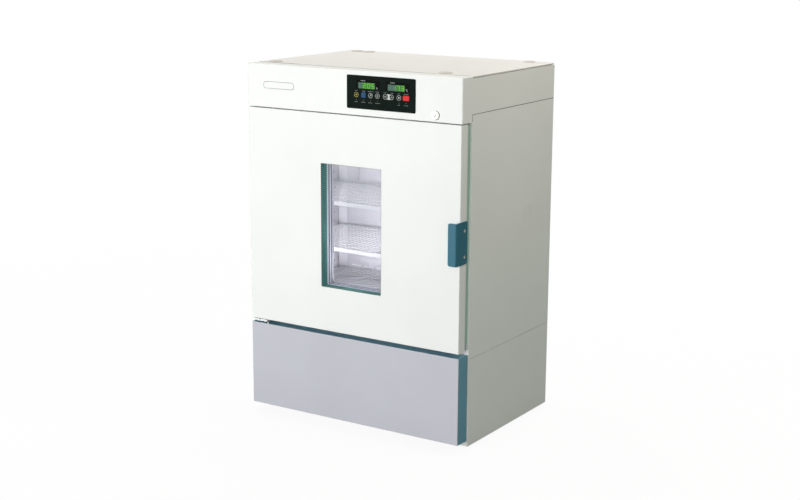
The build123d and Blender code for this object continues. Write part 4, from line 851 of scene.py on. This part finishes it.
world = bpy.data.worlds.new("studio")
bpy.context.scene.world = world
world.use_nodes = True
world_nodes, world_links = world.node_tree.nodes, world.node_tree.links
world_nodes.clear()
sky_seen = world_nodes.new("ShaderNodeLightPath").outputs["Is Camera Ray"]
ambient, backdrop = world_nodes.new("ShaderNodeBackground"), world_nodes.new("ShaderNodeBackground")
ambient.inputs["Color"].default_value = (0.235, 0.275, 0.255, 1.0)
backdrop.inputs["Color"].default_value = (1.0, 1.0, 1.0, 1.0)
sky_mix = world_nodes.new("ShaderNodeMixShader")
sky_output = world_nodes.new("ShaderNodeOutputWorld")
world_links.new(sky_seen, sky_mix.inputs[0])
world_links.new(ambient.outputs[0], sky_mix.inputs[1])
world_links.new(backdrop.outputs[0], sky_mix.inputs[2])
world_links.new(sky_mix.outputs[0], sky_output.inputs["Surface"])


# ---------------------------------------------------------------- lights


def softbox(name, place, target, size, power, colour=(1.0, 1.0, 1.0), seen_in_gloss=True):
    """A soft rectangular light, turned towards a point."""
    lamp = bpy.data.lights.new(name, "AREA")
    lamp.shape, lamp.size, lamp.size_y = "RECTANGLE", *size
    lamp.energy, lamp.color = power, colour
    made = bpy.data.objects.new(name, lamp)
    made.location = place
    made.rotation_euler = (Vector(target) - Vector(place)).to_track_quat("-Z", "Y").to_euler()
    made.visible_camera = False
    made.visible_glossy = seen_in_gloss
    bpy.context.scene.collection.objects.link(made)


softbox("key", (-2.4, -4.4, 0.95), (0, 0, 0.5), (2.0, 2.0), 181, (1.0, 0.98, 0.985))
softbox("camera_fill", (1.9, -4.0, 1.4), (0, 0, 0.5), (1.4, 1.4), 46, (1.0, 0.975, 0.96))
softbox("upper_right", (1.5, 0.2, 2.2), (0.35, 0, 0.7), (1.0, 1.0), 15, (1.0, 0.87, 0.76))
softbox("overhead", (-1.1, 0.55, 3.0), (0, 0.1, 0.9), (1.8, 1.0), 35, (1.0, 0.93, 0.93))
softbox("rear_fill", (0.2, 3.6, 2.0), (0, 0, 0.5), (2.0, 2.0), 60)

# Three lights inside the chamber, behind the door and turned towards the duct panel's middle
LAMP_WIDE, LAMP_BACK, LAMP_INSET, CHAMBER_LIGHT = 0.54, 20 * MM, 30 * MM, (0.99, 0.96, 1.0)
liner_middle = (liner_low.z + liner_high.z) / 2
chamber_target = (0, duct_low.y, liner_middle)
for label, z, tall, power in (
    ("above", liner_high.z - LAMP_INSET, 0.04, 0.88),
    ("below", liner_low.z + LAMP_INSET, 0.04, 3.0),
    ("front", liner_middle, 0.46, 0.92),
):
    place, size = (0, liner_low.y + LAMP_BACK, z), (LAMP_WIDE, tall)
    softbox(f"chamber_{label}", place, chamber_target, size, power, CHAMBER_LIGHT, False)

# ---------------------------------------------------------------- camera

CAMERA_PLACE = Vector((2.2497, -3.5273, 1.4114))
AZIMUTH, PITCH, ROLL = (math.radians(angle) for angle in (32.64, 12.61, 0.311))
camera = bpy.data.objects.new("camera", bpy.data.cameras.new("camera"))
camera.data.lens, camera.data.sensor_width = 66.49, 36.0
camera.data.clip_end = 200.0
forward = Vector(
    (-math.sin(AZIMUTH) * math.cos(PITCH), math.cos(AZIMUTH) * math.cos(PITCH), -math.sin(PITCH))
)
level = Vector((math.cos(AZIMUTH), math.sin(AZIMUTH), 0))
upright = level.cross(forward)
right = math.cos(ROLL) * level + math.sin(ROLL) * upright
above = math.cos(ROLL) * upright - math.sin(ROLL) * level
turned = Matrix((right, above, -forward)).transposed().to_4x4()
camera.matrix_world = Matrix.Translation(CAMERA_PLACE) @ turned
bpy.context.scene.collection.objects.link(camera)
bpy.context.scene.camera = camera
bpy.context.scene.view_settings.view_transform = "Standard"
